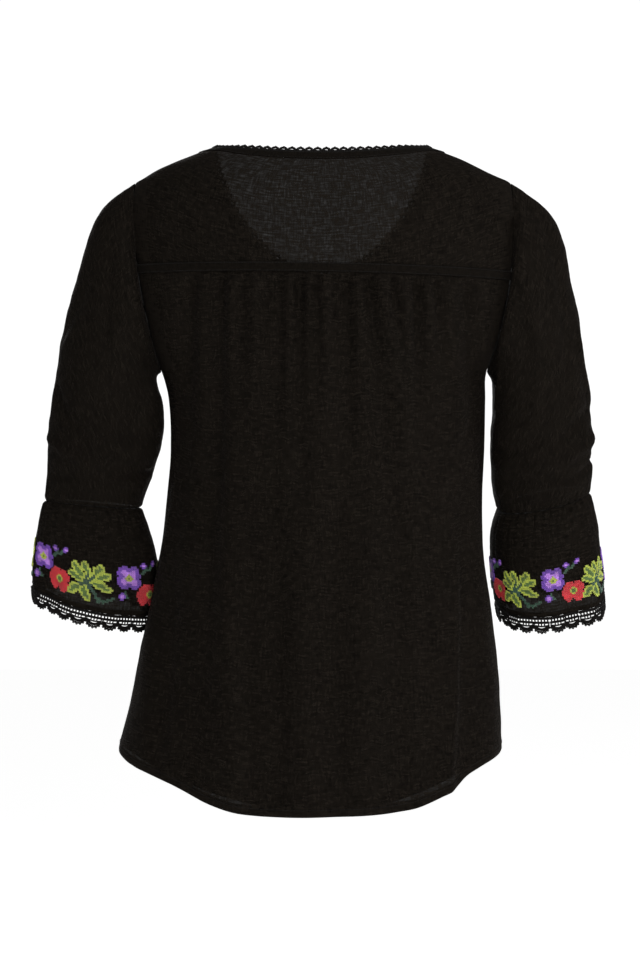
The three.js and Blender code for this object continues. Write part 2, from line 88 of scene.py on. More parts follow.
# The armhole edge: height, how far out to the left and to the right.
ARMHOLE_EDGE = [(-34, 186, 188), (-80, 184, 187), (-128, 180, 185), (-172, 172, 178), (-222, 160, 164)]
SHOULDER_TIP_Z, UNDERARM_Z = -34, -222

NECK_HALF_WIDTH, NECK_BACK_DROP, NECK_FRONT_DROP, SCOOP_SHAPE = 111, 11, 118, 1.4
BINDING_WIDTH = 9
YOKE_SEAM_Z, YOKE_SEAM_SLOPE, YOKE_BAND_WIDTH = -126, 0.018, 9
FRONT_SEAM_NECK_Y, FRONT_SEAM_TIP_Z = 24, -52
HEM_SIDE_Z, FRONT_HEM_DROP, FRONT_HEM_SHAPE = -595, 86, 1.7

# The shirt-tail hem of the back: turn round the body and height.
BACK_HEM = [
    (-90, -595), (-69, -606), (-46, -621), (-31, -639), (-20, -647), (0, -648),
    (28, -643), (43, -629), (54, -613), (68, -603), (90, -595),
]  # fmt: skip

# Sleeve sections down to the cuff: outer x and z, inner x and z, half-depth, how far forward, dip at the back.
SLEEVES = {
    "right": [
        (203, -44, 169, -227, 57, 0, 0),
        (223, -60, 170.5, -232, 60, 0, 0),
        (237, -84, 171, -239, 60, 1, 0),
        (247, -120, 171, -249, 59, 3, 0),
        (255, -165, 170.5, -264, 57, 6, 1),
        (262, -212, 169, -284, 55, 9, 2),
        (267, -256, 169, -306, 53, 13, 4),
        (270, -292, 170, -327, 51, 17, 6),
        (271, -319, 173, -345, 49, 20, 8),
        (269, -341, 178, -360, 46, 23, 9),
        (276, -364, 172, -383, 50, 28, 10),
        (281, -392, 172, -409, 52, 33, 12),
        (285, -420, 175, -434, 53, 38, 14),
        (287, -443, 179, -455, 53, 42, 16),
        (288, -460, 182, -472, 53, 45, 17),
    ],
    "left": [
        (201, -43, 164.8, -227, 57, 0, 0),
        (219, -60, 165, -232, 60, 0, 0),
        (232, -85, 163.5, -239, 60, 1, 0),
        (243, -121, 160, -249, 60, 3, 0),
        (255, -164, 159, -263, 58, 6, 1),
        (264, -208, 160, -282, 56, 9, 1),
        (271, -252, 164, -303, 54, 13, 2),
        (275, -291, 170, -324, 51, 17, 2),
        (276, -322, 177, -342, 49, 20, 2),
        (279, -350, 183, -358, 46, 24, 2),
        (285, -368, 176, -378, 51, 30, 5),
        (289, -390, 168, -406, 54, 37, 8),
        (291, -413, 165, -434, 55, 44, 11),
        (291, -433, 170, -461, 55, 49, 13),
        (290, -450, 175, -479, 55, 52, 14),
    ],
}
SLEEVE_SQUARENESS = 0.8
ARMHOLE_CLEARANCE = 1.0  # from the body's edge to the sleeve's
GATHERED_ROW, LACE_ROW, END_ROW = 10, 14, 15  # rows of a sleeve, counting the armhole as row 0
ROW_LENGTH, DEGREE_LENGTH = 27, 0.87  # of a sleeve's cloth, about, in millimetres

# ---- Folds placed one by one, in millimetres ----

# Folds that hang from the yoke seam: x at the seam, drift by the end, reach, half-width, depth outwards.
BACK_FOLDS = [
    (-128, -22, 430, 13, -8.0), (-112, -10, 300, 9, 4.0), (-100, -8, 480, 12, -7.5), (-84, -8, 330, 9, 5.5),
    (-76, -4, 150, 5, -4.0), (-62, -8, 260, 7, 4.5), (-52, -6, 130, 5, -4.5), (-41, 0, 240, 7, -6.0),
    (-31, 4, 380, 9, 6.0), (-22, -3, 420, 8, -8.0), (-12, -2, 200, 6, 4.0), (-5, -3, 150, 5, -4.5),
    (4, 0, 260, 7, 5.0), (13, 1, 120, 4, -4.0), (23, 2, 330, 8, -6.5), (33, 8, 200, 6, 4.5),
    (42, 26, 220, 6, -7.0), (56, 30, 260, 8, 5.5), (66, 18, 150, 5, -5.0), (78, 14, 420, 10, 6.0),
    (90, 8, 330, 8, -6.5), (100, 10, 200, 6, 4.0), (109, 14, 170, 5, -4.0), (121, 12, 300, 9, 5.0),
    (140, 26, 330, 10, -7.5),
]  # fmt: skip

# Long soft folds of the lower back: x and z where each starts and ends, half-width, depth outwards.
BACK_DRAPE = [
    (-112, -240, -118, -640, 15, -6.5), (-132, -360, -112, -630, 13, 4.0), (-92, -300, -86, -660, 14, 5.0),
    (-40, -330, -48, -660, 13, -5.5), (-66, -380, -70, -660, 11, -3.5), (-16, -380, -20, -660, 14, 4.0),
    (16, -330, 12, -660, 12, -4.5), (44, -360, 40, -660, 13, 3.5), (68, -320, 74, -660, 13, -5.5),
    (132, -400, 122, -655, 5, 4.0), (142, -330, 136, -620, 10, -5.0), (104, -420, 98, -650, 12, -3.0),
    (-160, -380, -176, -600, 11, 3.5), (-146, -430, -160, -600, 9, -4.5), (155, -420, 166, -600, 8, 3.0),
]  # fmt: skip

# Small creases anywhere on the back half: x and z of both ends, half-width, depth outwards.
BACK_CREASES = [
    (-172, -154, -134, -161, 4, -2.2), (152, -71, 204, -66, 5, 2.2), (150, -80, 196, -76, 4, -1.6),
    (92, -22, 128, -62, 4, -1.4), (104, -18, 150, -52, 4, 1.3), (-150, -34, -96, -70, 5, -1.3),
    (-176, -64, -120, -100, 6, -1.6), (-168, -80, -110, -112, 6, 1.3), (176, -94, 120, -112, 5, -1.5),
    (-60, -30, -20, -60, 6, 1.0), (30, -34, 80, -90, 6, -1.0), (160, -140, 120, -180, 5, -2.4),
    (150, -300, 60, -330, 9, -2.0), (-150, -330, -60, -350, 9, -2.0), (-146, -250, -100, -330, 7, -2.5),
    (158, -262, 110, -330, 7, -2.6), (-20, -470, 90, -500, 10, -1.6), (-160, -520, -60, -560, 10, -1.8),
]  # fmt: skip

# Soft folds of the front: the same columns.
FRONT_DRAPE = [
    (-60, -150, -78, -630, 13, -5.0), (-30, -160, -34, -640, 13, 4.5), (2, -150, 6, -640, 12, -5.5),
    (38, -160, 44, -640, 13, 4.5), (66, -150, 84, -630, 13, -5.0), (-100, -240, -116, -620, 13, 4.0),
    (104, -240, 120, -620, 13, 4.0), (-134, -330, -150, -600, 10, -4.5), (134, -330, 150, -600, 10, -4.5),
    (-150, -215, -70, -270, 8, -3.0), (150, -215, 70, -270, 8, -3.0), (-150, -60, -120, -190, 7, -2.2),
    (152, -60, 122, -190, 7, -2.2), (-80, -420, 60, -440, 10, -1.6),
]  # fmt: skip

# Folds of each sleeve: round (0 at the inner seam through the back to 180 outside, 360 back at the inner
# seam) and row at both ends, half-width, depth outwards.
SLEEVE_FOLDS = {
    "right": [
        (150, 0.6, 120, 6.5, 7, -2.6), (100, 1.0, 82, 6.0, 7, 2.2), (60, 2.0, 90, 5.0, 7, -2.6),
        (20, 6.9, 96, 7.5, 5, -4.6), (96, 7.5, 176, 7.0, 5, -4.4), (30, 7.6, 110, 8.2, 5, 4.2),
        (110, 8.2, 180, 7.7, 5, 4.6), (40, 8.5, 120, 8.9, 4, -4.0), (120, 8.9, 190, 8.5, 4, -4.2),
        (50, 9.2, 130, 9.4, 3, 3.0), (10, 5.0, 70, 6.4, 6, -3.2), (150, 5.0, 178, 7.4, 6, 3.4),
        (240, 1.5, 262, 6.5, 7, -2.6), (290, 3.0, 300, 7.5, 7, 2.6), (340, 4.0, 260, 6.0, 6, -2.8),
        (250, 7.2, 330, 7.9, 5, -4.0), (210, 8.2, 300, 8.8, 4, 3.6), (30, 2.0, 16, 5.5, 5, 2.2),
    ],
    "left": [
        (30, 0.6, 58, 6.5, 7, -2.6), (80, 1.0, 96, 6.0, 7, 2.0), (120, 2.0, 88, 5.2, 7, -2.4),
        (8, 6.2, 60, 7.0, 5, -3.4), (10, 7.2, 92, 7.8, 5, 3.4), (4, 7.9, 70, 8.4, 4, -3.6),
        (100, 7.4, 168, 6.6, 5, -3.6), (96, 8.3, 172, 7.8, 4, 3.2), (60, 8.9, 150, 9.0, 3, -2.6),
        (130, 4.0, 168, 5.6, 6, -2.6), (220, 1.5, 250, 6.5, 7, -2.4), (300, 2.5, 290, 7.5, 7, 2.4),
        (200, 5.0, 270, 6.4, 6, -3.0), (230, 7.3, 320, 8.0, 5, -3.6), (200, 8.2, 290, 8.8, 4, 3.2),
    ],
}  # fmt: skip


# ---- Curves through the tables ----


def mix(a, b, t):
    return a + (b - a) * t


def smooth(t):
    t = min(1.0, max(0.0, t))
    return t * t * (3 - 2 * t)


def profile(rows, at, column, key=0):
    """A column's value on a smooth curve through the rows."""
    rising = rows[-1][key] > rows[0][key]
    i = next((k for k, row in enumerate(rows) if (row[key] > at if rising else row[key] < at)), len(rows) - 1) - 1
    i = min(len(rows) - 2, max(0, i))

    def slope(j):
        a, b = rows[max(0, j - 1)], rows[min(len(rows) - 1, j + 1)]
        return (b[column] - a[column]) / (b[key] - a[key])

    a, b = rows[i], rows[i + 1]
    span = b[key] - a[key]
    t = min(1.0, max(0.0, (at - a[key]) / span))
    bend = t * (1 - t) * span
    return mix(a[column], b[column], smooth(t)) + bend * ((1 - t) * slope(i) - t * slope(i + 1))


# ---- Points on the body; a place is (turn in degrees, z in millimetres) ----


def body_point(place):
    turn, z = place
    s, c = math.sin(math.radians(turn)), math.cos(math.radians(turn))
    across = profile(BODY_RINGS, z, LEFT if s < 0 else RIGHT) * s
    behind = profile(BODY_RINGS, z, BACK if c > 0 else FRONT) * c
    return Vector((across, -behind, z))


def body_normal(place):
    turn, z = place
    across = body_point((turn + 0.5, z)) - body_point((turn - 0.5, z))
    down = body_point((turn, z - 0.5)) - body_point((turn, z + 0.5))
    return down.cross(across).normalized()


def turn_at(x, z, back):
    half = profile(BODY_RINGS, z, LEFT if x < 0 else RIGHT)
    turn = math.degrees(math.asin(min(1.0, max(-1.0, x / half))))
    return turn if back else 180 - turn


def sign_of(side):
    return -1 if side == "left" else 1


def armhole_x(side, z):
    return sign_of(side) * profile(ARMHOLE_EDGE, z, LEFT if side == "left" else RIGHT)


def armhole(side, back, degrees):
    """A place on the armhole: 0 degrees is the shoulder tip and 180 the underarm."""
    z = mix(SHOULDER_TIP_Z, UNDERARM_Z, (1 - math.cos(math.radians(degrees))) / 2)
    return turn_at(armhole_x(side, z), z, back), z


def armhole_degrees(z):
    return math.degrees(math.acos(1 - 2 * (z - SHOULDER_TIP_Z) / (UNDERARM_Z - SHOULDER_TIP_Z)))


def neckline(degrees, lower=0.0):
    """A place on the neckline, or so far below it: 0 degrees is the centre back and 180 the centre front."""
    across, along = math.sin(math.radians(degrees)), math.cos(math.radians(degrees))
    drop = NECK_BACK_DROP * along**2 if along > 0 else NECK_FRONT_DROP * abs(along) ** SCOOP_SHAPE
    edge = turn_at(NECK_HALF_WIDTH * across, -drop, along > 0), -drop
    if not lower:
        return edge
    return below(edge, neckline(degrees - 0.5), neckline(degrees + 0.5), lower)


def below(edge, before, after, distance):
    """The place that lies a distance from an edge, square to it and away from the neck."""
    at = body_point(edge)
    along = (body_point(after) - body_point(before)).normalized()
    by_turn = body_point((edge[0] + 0.5, edge[1])) - at
    by_z = body_point((edge[0], edge[1] - 0.5)) - at
    away = along.cross(by_turn.cross(by_z).normalized()).normalized()
    if away.dot(by_z) < 0:
        away.negate()
    tt, tz, zz = by_turn.dot(by_turn), by_turn.dot(by_z), by_z.dot(by_z)
    wt, wz = away.dot(by_turn) * distance, away.dot(by_z) * distance
    area = tt * zz - tz * tz
    return edge[0] + 0.5 * (wt * zz - wz * tz) / area, edge[1] - 0.5 * (wz * tt - wt * tz) / area


def even_shares(path, count, steps=360):
    lengths, last = [0.0], body_point(path(0.0))
    for i in range(1, steps + 1):
        now = body_point(path(i / steps))
        lengths.append(lengths[-1] + (now - last).length)
        last = now
    shares, j = [], 1
    for i in range(count + 1):
        goal = lengths[-1] * i / count
        while j < steps and lengths[j] < goal - 1e-9:
            j += 1
        shares.append((j - 1 + min(1.0, (goal - lengths[j - 1]) / (lengths[j] - lengths[j - 1] or 1))) / steps)
    return shares


def spaced(path, count):
    return [path(t) for t in even_shares(path, count)]


def between(a, b):
    return lambda t: (mix(a[0], b[0], t), mix(a[1], b[1], t))


def joined(*paths):
    return [p for k, path in enumerate(paths) for p in (path[1:] if k else path)]


def patch(top, bottom, left, right, fade=1):
    """The places between four edges: top and bottom run left to right, the sides run downwards."""
    columns, rows = len(top) - 1, len(left) - 1

    def place(i, j):
        u, v = i / columns, 1 - (1 - j / rows) ** fade
        return tuple(
            mix(top[i][k], bottom[i][k], v)
            + mix(left[j][k], right[j][k], u)
            - mix(mix(top[0][k], top[-1][k], u), mix(bottom[0][k], bottom[-1][k], u), v)
            for k in (0, 1)
        )

    return [[place(i, j) for i in range(columns + 1)] for j in range(rows + 1)]


# ---- Folds ----

FOLD_OVERRUN = 0.15  # how far a fold runs on past each end, as a share of its length
FOLD_RUN_IN = 0.35  # the share of its length over which it rises to its full depth


def fold_ends(along):
    """How much of its depth a fold has at a share of its length: it fades in and out."""
    return smooth((along + FOLD_OVERRUN) / FOLD_RUN_IN) * smooth((1 + FOLD_OVERRUN - along) / FOLD_RUN_IN)


def ridge(point, x0, z0, x1, z1, half, depth):
    """How far a fold between two points of the front or back view lifts the cloth there."""
    dx, dz = x1 - x0, z1 - z0
    length = math.hypot(dx, dz)
    along = ((point.x - x0) * dx + (point.z - z0) * dz) / (length * length)
    if along < -FOLD_OVERRUN or along > 1 + FOLD_OVERRUN:
        return 0.0
    away = ((point.x - x0) * dz - (point.z - z0) * dx) / length
    if abs(away) > 3 * half:
        return 0.0
    wander = 0.25 * half * math.sin(5.0 * along + x0)
    return depth * fold_ends(along) * math.exp(-(((away + wander) / half) ** 2))


def yoke_seam_z(x, lower=0.0):
    return YOKE_SEAM_Z - YOKE_SEAM_SLOPE * x - lower


def gathers(point):
    """The fine gathers and the larger folds that hang from the yoke seam."""
    fallen = yoke_seam_z(point.x, YOKE_BAND_WIDTH / 2) - point.z
    if fallen < 0:
        return 0.0
    lift = 0.0
    for x, drift, reach, half, depth in BACK_FOLDS:
        share = min(1.0, fallen / reach)
        width = half * (0.75 + 0.9 * share)
        across = (point.x - x - drift * share**0.8) / width
        if abs(across) < 3:
            lift += depth * smooth(fallen / 12) * (1 - smooth(share)) * math.exp(-(across**2))
    inside = smooth((138 - abs(point.x - 4)) / 14)
    phase = point.x * 0.62 + 2.4 * math.sin(point.x * 0.11) + 1.3 * math.sin(point.x * 0.045 + 1)
    fine = 0.9 * math.sin(phase) + 0.5 * math.sin(1.7 * phase + 1.2)
    return lift + fine * inside * smooth(fallen / 5) * math.exp(-fallen / 34)


def limp(point, size, seed):
    """The slight unevenness of limp cloth."""
    return noise.fractal(Vector((point.x, point.y, point.z)) / size + Vector((seed, 0, 0)), 0.9, 2.1, 3)


def back_lift(point, edge):
    lift = gathers(point) * edge
    for fold in BACK_DRAPE:
        lift += ridge(point, *fold)
    for crease in BACK_CREASES:
        lift += ridge(point, *crease) * edge
    return lift + limp(point, 60, 3.1) * 1.1 + limp(point, 17, 8.0) * 0.30


def front_lift(point, edge):
    lift = sum(ridge(point, *fold) for fold in FRONT_DRAPE) * edge
    return lift + limp(point, 60, 5.7) * 1.1 * edge + limp(point, 17, 2.0) * 0.30


# ---- Sheets of cloth ----

SHEET = 0.35  # thickness of one layer of voile, in millimetres


def in_scene(name, data):
    thing = bpy.data.objects.new(name, data)
    bpy.context.scene.collection.objects.link(thing)
    return thing


class Cloth:
    """A grid of points in millimetres with its outward normals, how many layers each point has and its
    place in the weave."""

    def __init__(self, points, normals=None, tube=False):
        self.points, self.tube = points, tube
        self.normals = normals or self.measured_normals()
        self.layers = [[1.0] * len(points[0]) for _ in points]

    def measured_normals(self):
        rows, columns = len(self.points), len(self.points[0])
        normals = []
        for j in range(rows):
            line = []
            for i in range(columns):
                before = (i - 1) % columns if self.tube else max(0, i - 1)
                after = (i + 1) % columns if self.tube else min(columns - 1, i + 1)
                across = self.points[j][after] - self.points[j][before]
                down = self.points[min(rows - 1, j + 1)][i] - self.points[max(0, j - 1)][i]
                line.append(down.cross(across).normalized())
            normals.append(line)
        return normals

    def lifted(self, lift):
        moved = [
            [p + n * lift(p, j, i) for i, (p, n) in enumerate(zip(*lines))]
            for j, lines in enumerate(zip(self.points, self.normals))
        ]
        cloth = Cloth(moved, tube=self.tube)
        cloth.layers = self.layers
        return cloth

    def paint(self, layers):
        self.layers = [[layers(j, i) for i in range(len(self.points[0]))] for j in range(len(self.points))]
        return self

    def weave_places(self):
        """Lengths along the cloth, across and down, so that the weave keeps its size."""
        rows, columns = len(self.points), len(self.points[0])
        middle = self.points[rows // 2]
        across = [0.0]
        for i in range(1, columns + (1 if self.tube else 0)):
            across.append(across[-1] + (middle[i % columns] - middle[i - 1]).length)
        down = [[0.0] * columns]
        for j in range(1, rows):
            down.append([down[-1][i] + (self.points[j][i] - self.points[j - 1][i]).length for i in range(columns)])
        return across, down

    def build(self, name, material, thickness=SHEET):
        """One closed shell of even thickness, with its weave places as a UV map and its layers as an attribute."""
        rows, columns = len(self.points), len(self.points[0])
        half = thickness / 2
        lines = list(zip(self.points, self.normals))
        vertices = [p + n * s for s in (half, -half) for points, normals in lines for p, n in zip(points, normals)]
        across, down = self.weave_places()
        faces, places = [], []

        def spot(layer, j, i):
            return layer * rows * columns + j * columns + i % columns

        def add(*corners):
            faces.append([spot(layer, j, i) for layer, j, i in corners])
            places.extend((across[i] * MM, -down[j][i % columns] * MM) for _, j, i in corners)

        spans = columns if self.tube else columns - 1
        for j in range(rows - 1):
            for i in range(spans):
                add((0, j, i), (0, j + 1, i), (0, j + 1, i + 1), (0, j, i + 1))
                add((1, j, i), (1, j, i + 1), (1, j + 1, i + 1), (1, j + 1, i))
        for i in range(spans):
            add((0, 0, i), (0, 0, i + 1), (1, 0, i + 1), (1, 0, i))
            last = rows - 1
            add((0, last, i), (1, last, i), (1, last, i + 1), (0, last, i + 1))
        if not self.tube:
            last = columns - 1
            for j in range(rows - 1):
                add((0, j, 0), (1, j, 0), (1, j + 1, 0), (0, j + 1, 0))
                add((0, j, last), (0, j + 1, last), (1, j + 1, last), (1, j, last))
        mesh = bpy.data.meshes.new(name)
        mesh.from_pydata([v * MM for v in vertices], [], faces)
        uv = mesh.uv_layers.new(name="weave")
        uv.data.foreach_set("uv", [c for place in places for c in place])
        layers = mesh.attributes.new("layers", "FLOAT", "POINT")
        layers.data.foreach_set("value", [x for _ in (0, 1) for line in self.layers for x in line])
        mesh.polygons.foreach_set("use_smooth", [True] * len(mesh.polygons))
        mesh.materials.append(material)
        mesh.update()
        return in_scene(name, mesh)


# ---- Threads: everything that repeats along a line ----


SCALLOP_WIDTH, BUMP_WIDTH = 16.4, 8.6  # the pitches that the lace's and the edging's units are drawn for


class Spots:
    """Places for a repeated unit: where it sits, which way it runs, which way it faces and its size."""

    def __init__(self):
        self.at, self.turned, self.sized = [], [], []

    def add(self, at, along, out, size=1.0):
        x = along.normalized()
        z = (out - x * out.dot(x)).normalized()
        y = z.cross(x)
        self.at.append(at * MM)
        self.turned.append(Matrix((x, y, z)).transposed().to_euler())
        self.sized.append(size)


def repeat_tree():
    """Sets a unit on every point of a mesh, turned and sized by the point's attributes, as real faces."""
    tree = bpy.data.node_groups.new("Repeat Unit", "GeometryNodeTree")
    for name, kind in (("Geometry", "Geometry"), ("Unit", "Object"), ("Finish", "Material")):
        tree.interface.new_socket(name, in_out="INPUT", socket_type="NodeSocket" + kind)
    tree.interface.new_socket("Geometry", in_out="OUTPUT", socket_type="NodeSocketGeometry")

    def attribute(name, data_type):
        node = tree.nodes.new("GeometryNodeInputNamedAttribute")
        node.data_type = data_type
        node.inputs["Name"].default_value = name
        return node

    given, made = tree.nodes.new("NodeGroupInput"), tree.nodes.new("NodeGroupOutput")
    unit = tree.nodes.new("GeometryNodeObjectInfo")
    turned, sized = attribute("turned", "FLOAT_VECTOR"), attribute("sized", "FLOAT")
    placed = tree.nodes.new("GeometryNodeInstanceOnPoints")
    real = tree.nodes.new("GeometryNodeRealizeInstances")
    finish = tree.nodes.new("GeometryNodeSetMaterial")
    for source, output, target, socket in (
        (given, "Geometry", placed, "Points"),
        (given, "Unit", unit, "Object"),
        (unit, "Geometry", placed, "Instance"),
        (turned, "Attribute", placed, "Rotation"),
        (sized, "Attribute", placed, "Scale"),
        (placed, "Instances", real, "Geometry"),
        (real, "Geometry", finish, "Geometry"),
        (given, "Finish", finish, "Material"),
        (finish, "Geometry", made, "Geometry"),
    ):
        tree.links.new(source.outputs[output], target.inputs[socket])
    return tree


def repeat(name, spots, unit, material):
    """A plain mesh of one unit repeated at every spot."""
    carrier = bpy.data.meshes.new(name + "_spots")
    carrier.from_pydata(spots.at, [], [])
    turned = carrier.attributes.new("turned", "FLOAT_VECTOR", "POINT")
    turned.data.foreach_set("vector", [c for e in spots.turned for c in e])
    carrier.attributes.new("sized", "FLOAT", "POINT").data.foreach_set("value", spots.sized)
    holder = in_scene(name + "_spots", carrier)
    tree = bpy.data.node_groups.get("Repeat Unit") or repeat_tree()
    modifier = holder.modifiers.new("Repeat", "NODES")
    modifier.node_group = tree
    sockets = {item.name: item.identifier for item in tree.interface.items_tree if item.in_out == "INPUT"}
    modifier[sockets["Unit"]] = unit
    modifier[sockets["Finish"]] = material
    bpy.context.view_layer.update()
    evaluated = holder.evaluated_get(bpy.context.evaluated_depsgraph_get())
    mesh = bpy.data.meshes.new_from_object(evaluated)
    mesh.name = name
    mesh.materials.clear()
    mesh.materials.append(material)
    mesh.polygons.foreach_set("use_smooth", [True] * len(mesh.polygons))
    piece = in_scene(name, mesh)
    bpy.data.objects.remove(holder)
    bpy.data.objects.remove(unit)
    return piece


def thread_unit(name, paths, sides=5):
    """Round threads along flat paths in millimetres: each path is (radius, closed, points)."""
    vertices, faces = [], []
    for radius, closed, points in paths:
        points = [Vector(p) * MM for p in points]
        start, count = len(vertices), len(points)
        for k, p in enumerate(points):
            before = points[k - 1] if closed or k else p
            after = points[(k + 1) % count] if closed or k < count - 1 else p
            along = (after - before).normalized()
            side = along.cross(Vector((0, 0, 1)))
            side = side.normalized() if side.length > 1e-6 else Vector((1, 0, 0))
            up = side.cross(along)
            for s in range(sides):
                a = TAU * s / sides
                vertices.append(p + (side * math.cos(a) + up * math.sin(a)) * radius * MM)
        for k in range(count if closed else count - 1):
            n = (k + 1) % count
            for s in range(sides):
                here, there, t = start + k * sides, start + n * sides, (s + 1) % sides
                faces.append([here + s, there + s, there + t, here + t])
        if not closed:
            faces.append([start + s for s in range(sides)])
            faces.append([start + (count - 1) * sides + s for s in reversed(range(sides))])
    mesh = bpy.data.meshes.new(name)
    mesh.from_pydata(vertices, [], faces)
    mesh.update()
    return in_scene(name, mesh)


def arc(cx, cy, rx, ry, start, end, count):
    """Points of an ellipse's arc; 0 degrees points right and 90 degrees points down the cloth."""
    turns = [math.radians(mix(start, end, k / count)) for k in range(count + 1)]
    return [(cx + rx * math.cos(a), -(cy + ry * math.sin(a)), 0.0) for a in turns]


def scallop_unit():
    """One scallop of the cuff's crochet: header, two rows of holes, and a dense fan with picots."""
    half, fan_y = 8.2, 8.9
    inside = (-6, -4, -2, 0, 2, 4, 6)
    paths = []
    for y, r in ((0.5, 0.9), (1.8, 0.85), (5.1, 0.95), (6.2, 0.6)):
        cord = [(x, -y - 0.1 * math.sin(x * 1.9 + y), 0.12 * math.cos(x * 2.3)) for x in (-8.3, *inside, 8.3)]
        paths.append((r, False, cord))
    for k in range(5):
        x = -half + 3.28 * (k + 0.5)
        paths.append((0.85, False, [(x - 0.2, -1.6, 0), (x, -3.3, 0.2), (x + 0.1, -5.1, 0)]))
    for x in (-7.6, -3.1, 0, 3.1, 7.6):
        paths.append((0.75, False, [(x, -5.8, 0), (x * 0.98, -7.2, 0.15), (x * 0.94, -8.9, 0)]))
    cord = [(x, -(fan_y + 0.5 * math.cos(x / half * math.pi)), 0) for x in (-half, *inside, half)]
    paths.append((0.9, False, cord))
    paths.append((0.55, False, arc(0, fan_y, 4.6, 2.7, 0, 180, 10)))
    for k in range(13):
        a = math.radians(mix(4, 176, k / 12))
        x0, y0 = 4.5 * math.cos(a), fan_y + 2.7 * math.sin(a)
        x1, y1 = 7.5 * math.cos(a), fan_y + 6.4 * math.sin(a)
        paths.append((0.78, False, [(x0, -y0, 0), ((x0 + x1) / 2, -(y0 + y1) / 2, 0.3), (x1, -y1, 0)]))
    paths.append((0.85, False, arc(0, fan_y, 7.6, 6.5, -6, 186, 16)))
    for k in range(7):
        a = math.radians(mix(14, 166, k / 6))
        cx, cy = 8.2 * math.cos(a), fan_y + 7.2 * math.sin(a)
        paths.append((0.55, True, arc(cx, cy, 0.8, 0.8, 0, 315, 7)))
    return thread_unit("scallop", paths)


def edging_unit():
    """One bump of the neck's crochet: cords, a small hole and a picot. It stands up from the binding."""
    paths = []
    for y in (0.4, 1.6):
        paths.append((0.85, False, [(x, y, 0.1 * math.sin(2 * x)) for x in (-4.4, -2.2, 0, 2.2, 4.4)]))
    for x in (-3.7, -2.3, 2.3, 3.7):
        paths.append((0.85, False, [(x, 1.3, 0), (x * 0.94, 2.5, 0.2), (x * 0.9, 3.7, 0)]))
    paths.append((0.75, False, [(-4.3, 3.1, 0), (-2.4, 3.9, 0), (0, 4.3, 0), (2.4, 3.9, 0), (4.3, 3.1, 0)]))
    bump = [(x, 4.0 + 1.6 * math.cos(x / 3.4 * math.pi / 2), 0) for x in (-3.4, -2, -0.9, 0, 0.9, 2, 3.4)]
    paths.append((0.85, False, bump))
    picot = [(0.75 * math.cos(TAU * k / 7), 6.0 + 0.7 * math.sin(TAU * k / 7), 0) for k in range(7)]
    paths.append((0.6, True, picot))
    return thread_unit("edging", paths)


def stitch_unit():
    """One topstitch, 2.3 mm long, that dips into the cloth at both ends."""
    half, top = 2.3 / 2, 2.3 / 2 * 0.6
    path = [(-half, 0, -0.1), (-top, 0, 0.16), (top, 0, 0.16), (half, 0, -0.1)]
    return thread_unit("stitch", [(0.22, False, path)], 4)


def cross_unit():
    """A cross stitch of two strands that lie over each other on one square of the count."""
    reach = 0.78
    low = [(-reach, -reach, 0), (-0.3, -0.3, 0.22), (0.3, 0.3, 0.22), (reach, reach, 0)]
    high = [(reach, -reach, 0.05), (0.3, -0.3, 0.5), (-0.3, 0.3, 0.5), (-reach, reach, 0.05)]
    return thread_unit("cross", [(0.36, False, low), (0.36, False, high)], 4)


# ---- The embroidery, charted on squares ----
# R red flower, P purple flower, L lilac, Y yellow-green of leaves and flower centres,
# G green inside a leaf, S dark green stem. Each motif is drawn from its top row down.
VIOLET = [
    "...PPP..PPP..",
    ".PPPPPPPPPPP.",
    ".PPLLPPPLLPP.",
    "PPLLLLLLLLPP.",
    "PPPLLLYLLLPPP",
    ".PPPLYYYLLPPP",
    "PPPLYYGYYLPP.",
    "PPLLLYYYLLLPP",
    "PPLLLLLLLLLPP",
    "PPPLLPPPLLLPP",
    ".PPPPPPPPPPP.",
    "..PPPP..PPP..",
]
ROSE = [
    "...RRRR.RRR..",
    "..RRRRRRRRRR.",
    ".RRRRRRRRRRRR",
    ".RRRRRYYRRRRR",
    "RRRRRYGGYRRRR",
    "RRRRRYGGYRRR.",
    "RRRRRRYYRRRRR",
    ".RRRRRRRRRRRR",
    ".RRRRRRRRRRR.",
    "..RRRR.RRRRR.",
    "...RR...RRR..",
]
BUDS = [
    ".........PP",
    "..PP....PLL",
    ".PLLP..SPP.",
    "..PPS.SS...",
    "...SSSS....",
    "..SS.......",
    ".SS........",
]
LOW_BUD = [
    "...S..",
    ".PPS..",
    "PLLPS.",
    "PLLPSS",
    ".PP...",
]
SPRIG = [
    "........YY......YY.....",
    "...YY..YGYY....YGYY....",
    "..YGYY.YGGY..YYYGGY....",
    "..YGGYYYGGYY.YGGGYY....",
    "..YYGGYYYGGY.YGGYYYYYY.",
    "...YGGGY.YGYYYGYYYGGGY.",
    ".YYYYGGGYYSYYSYYGGGGYY.",
    "YGGGYYGGYSSYSSYGGGYYY..",
    "YYGGGGYYYSYSSYYYYY.....",
    "..YYGGGYSSSSYYYYYYY....",
    "....YYYYSSSYYGGGGGYY...",
    ".....SSSSSSSSYYGGGGYYY.",
    "..YYYYSSYYSS..YYYYGGGYY",
    ".YYGGGYYGYSSS....YYYYY.",
    ".YGGGGYGGYY.SS.........",
    "YYGGYYYGGGY..SS........",
    "YGGYY.YYGGYY..S........",
    "YYYY...YGGGY..SS.......",
    "........YYGY...S.......",
    ".........YYY...SS......",
]
TRAIL = [
    ".......SS.",
    "SS...SSS..",
    ".SSSSS....",
    "...S......",
]
# Where each motif starts in one repeat: columns to the right and rows down.
MOTIFS = [(0, 3, VIOLET), (11, 12, ROSE), (12, 0, BUDS), (1, 16, LOW_BUD), (23, 4, SPRIG), (38, 20, TRAIL)]
CELL_ROWS, CELLS_PER_REPEAT, REPEATS_ROUND = 25, 48, 4
CELLS_ROUND = REPEATS_ROUND * CELLS_PER_REPEAT


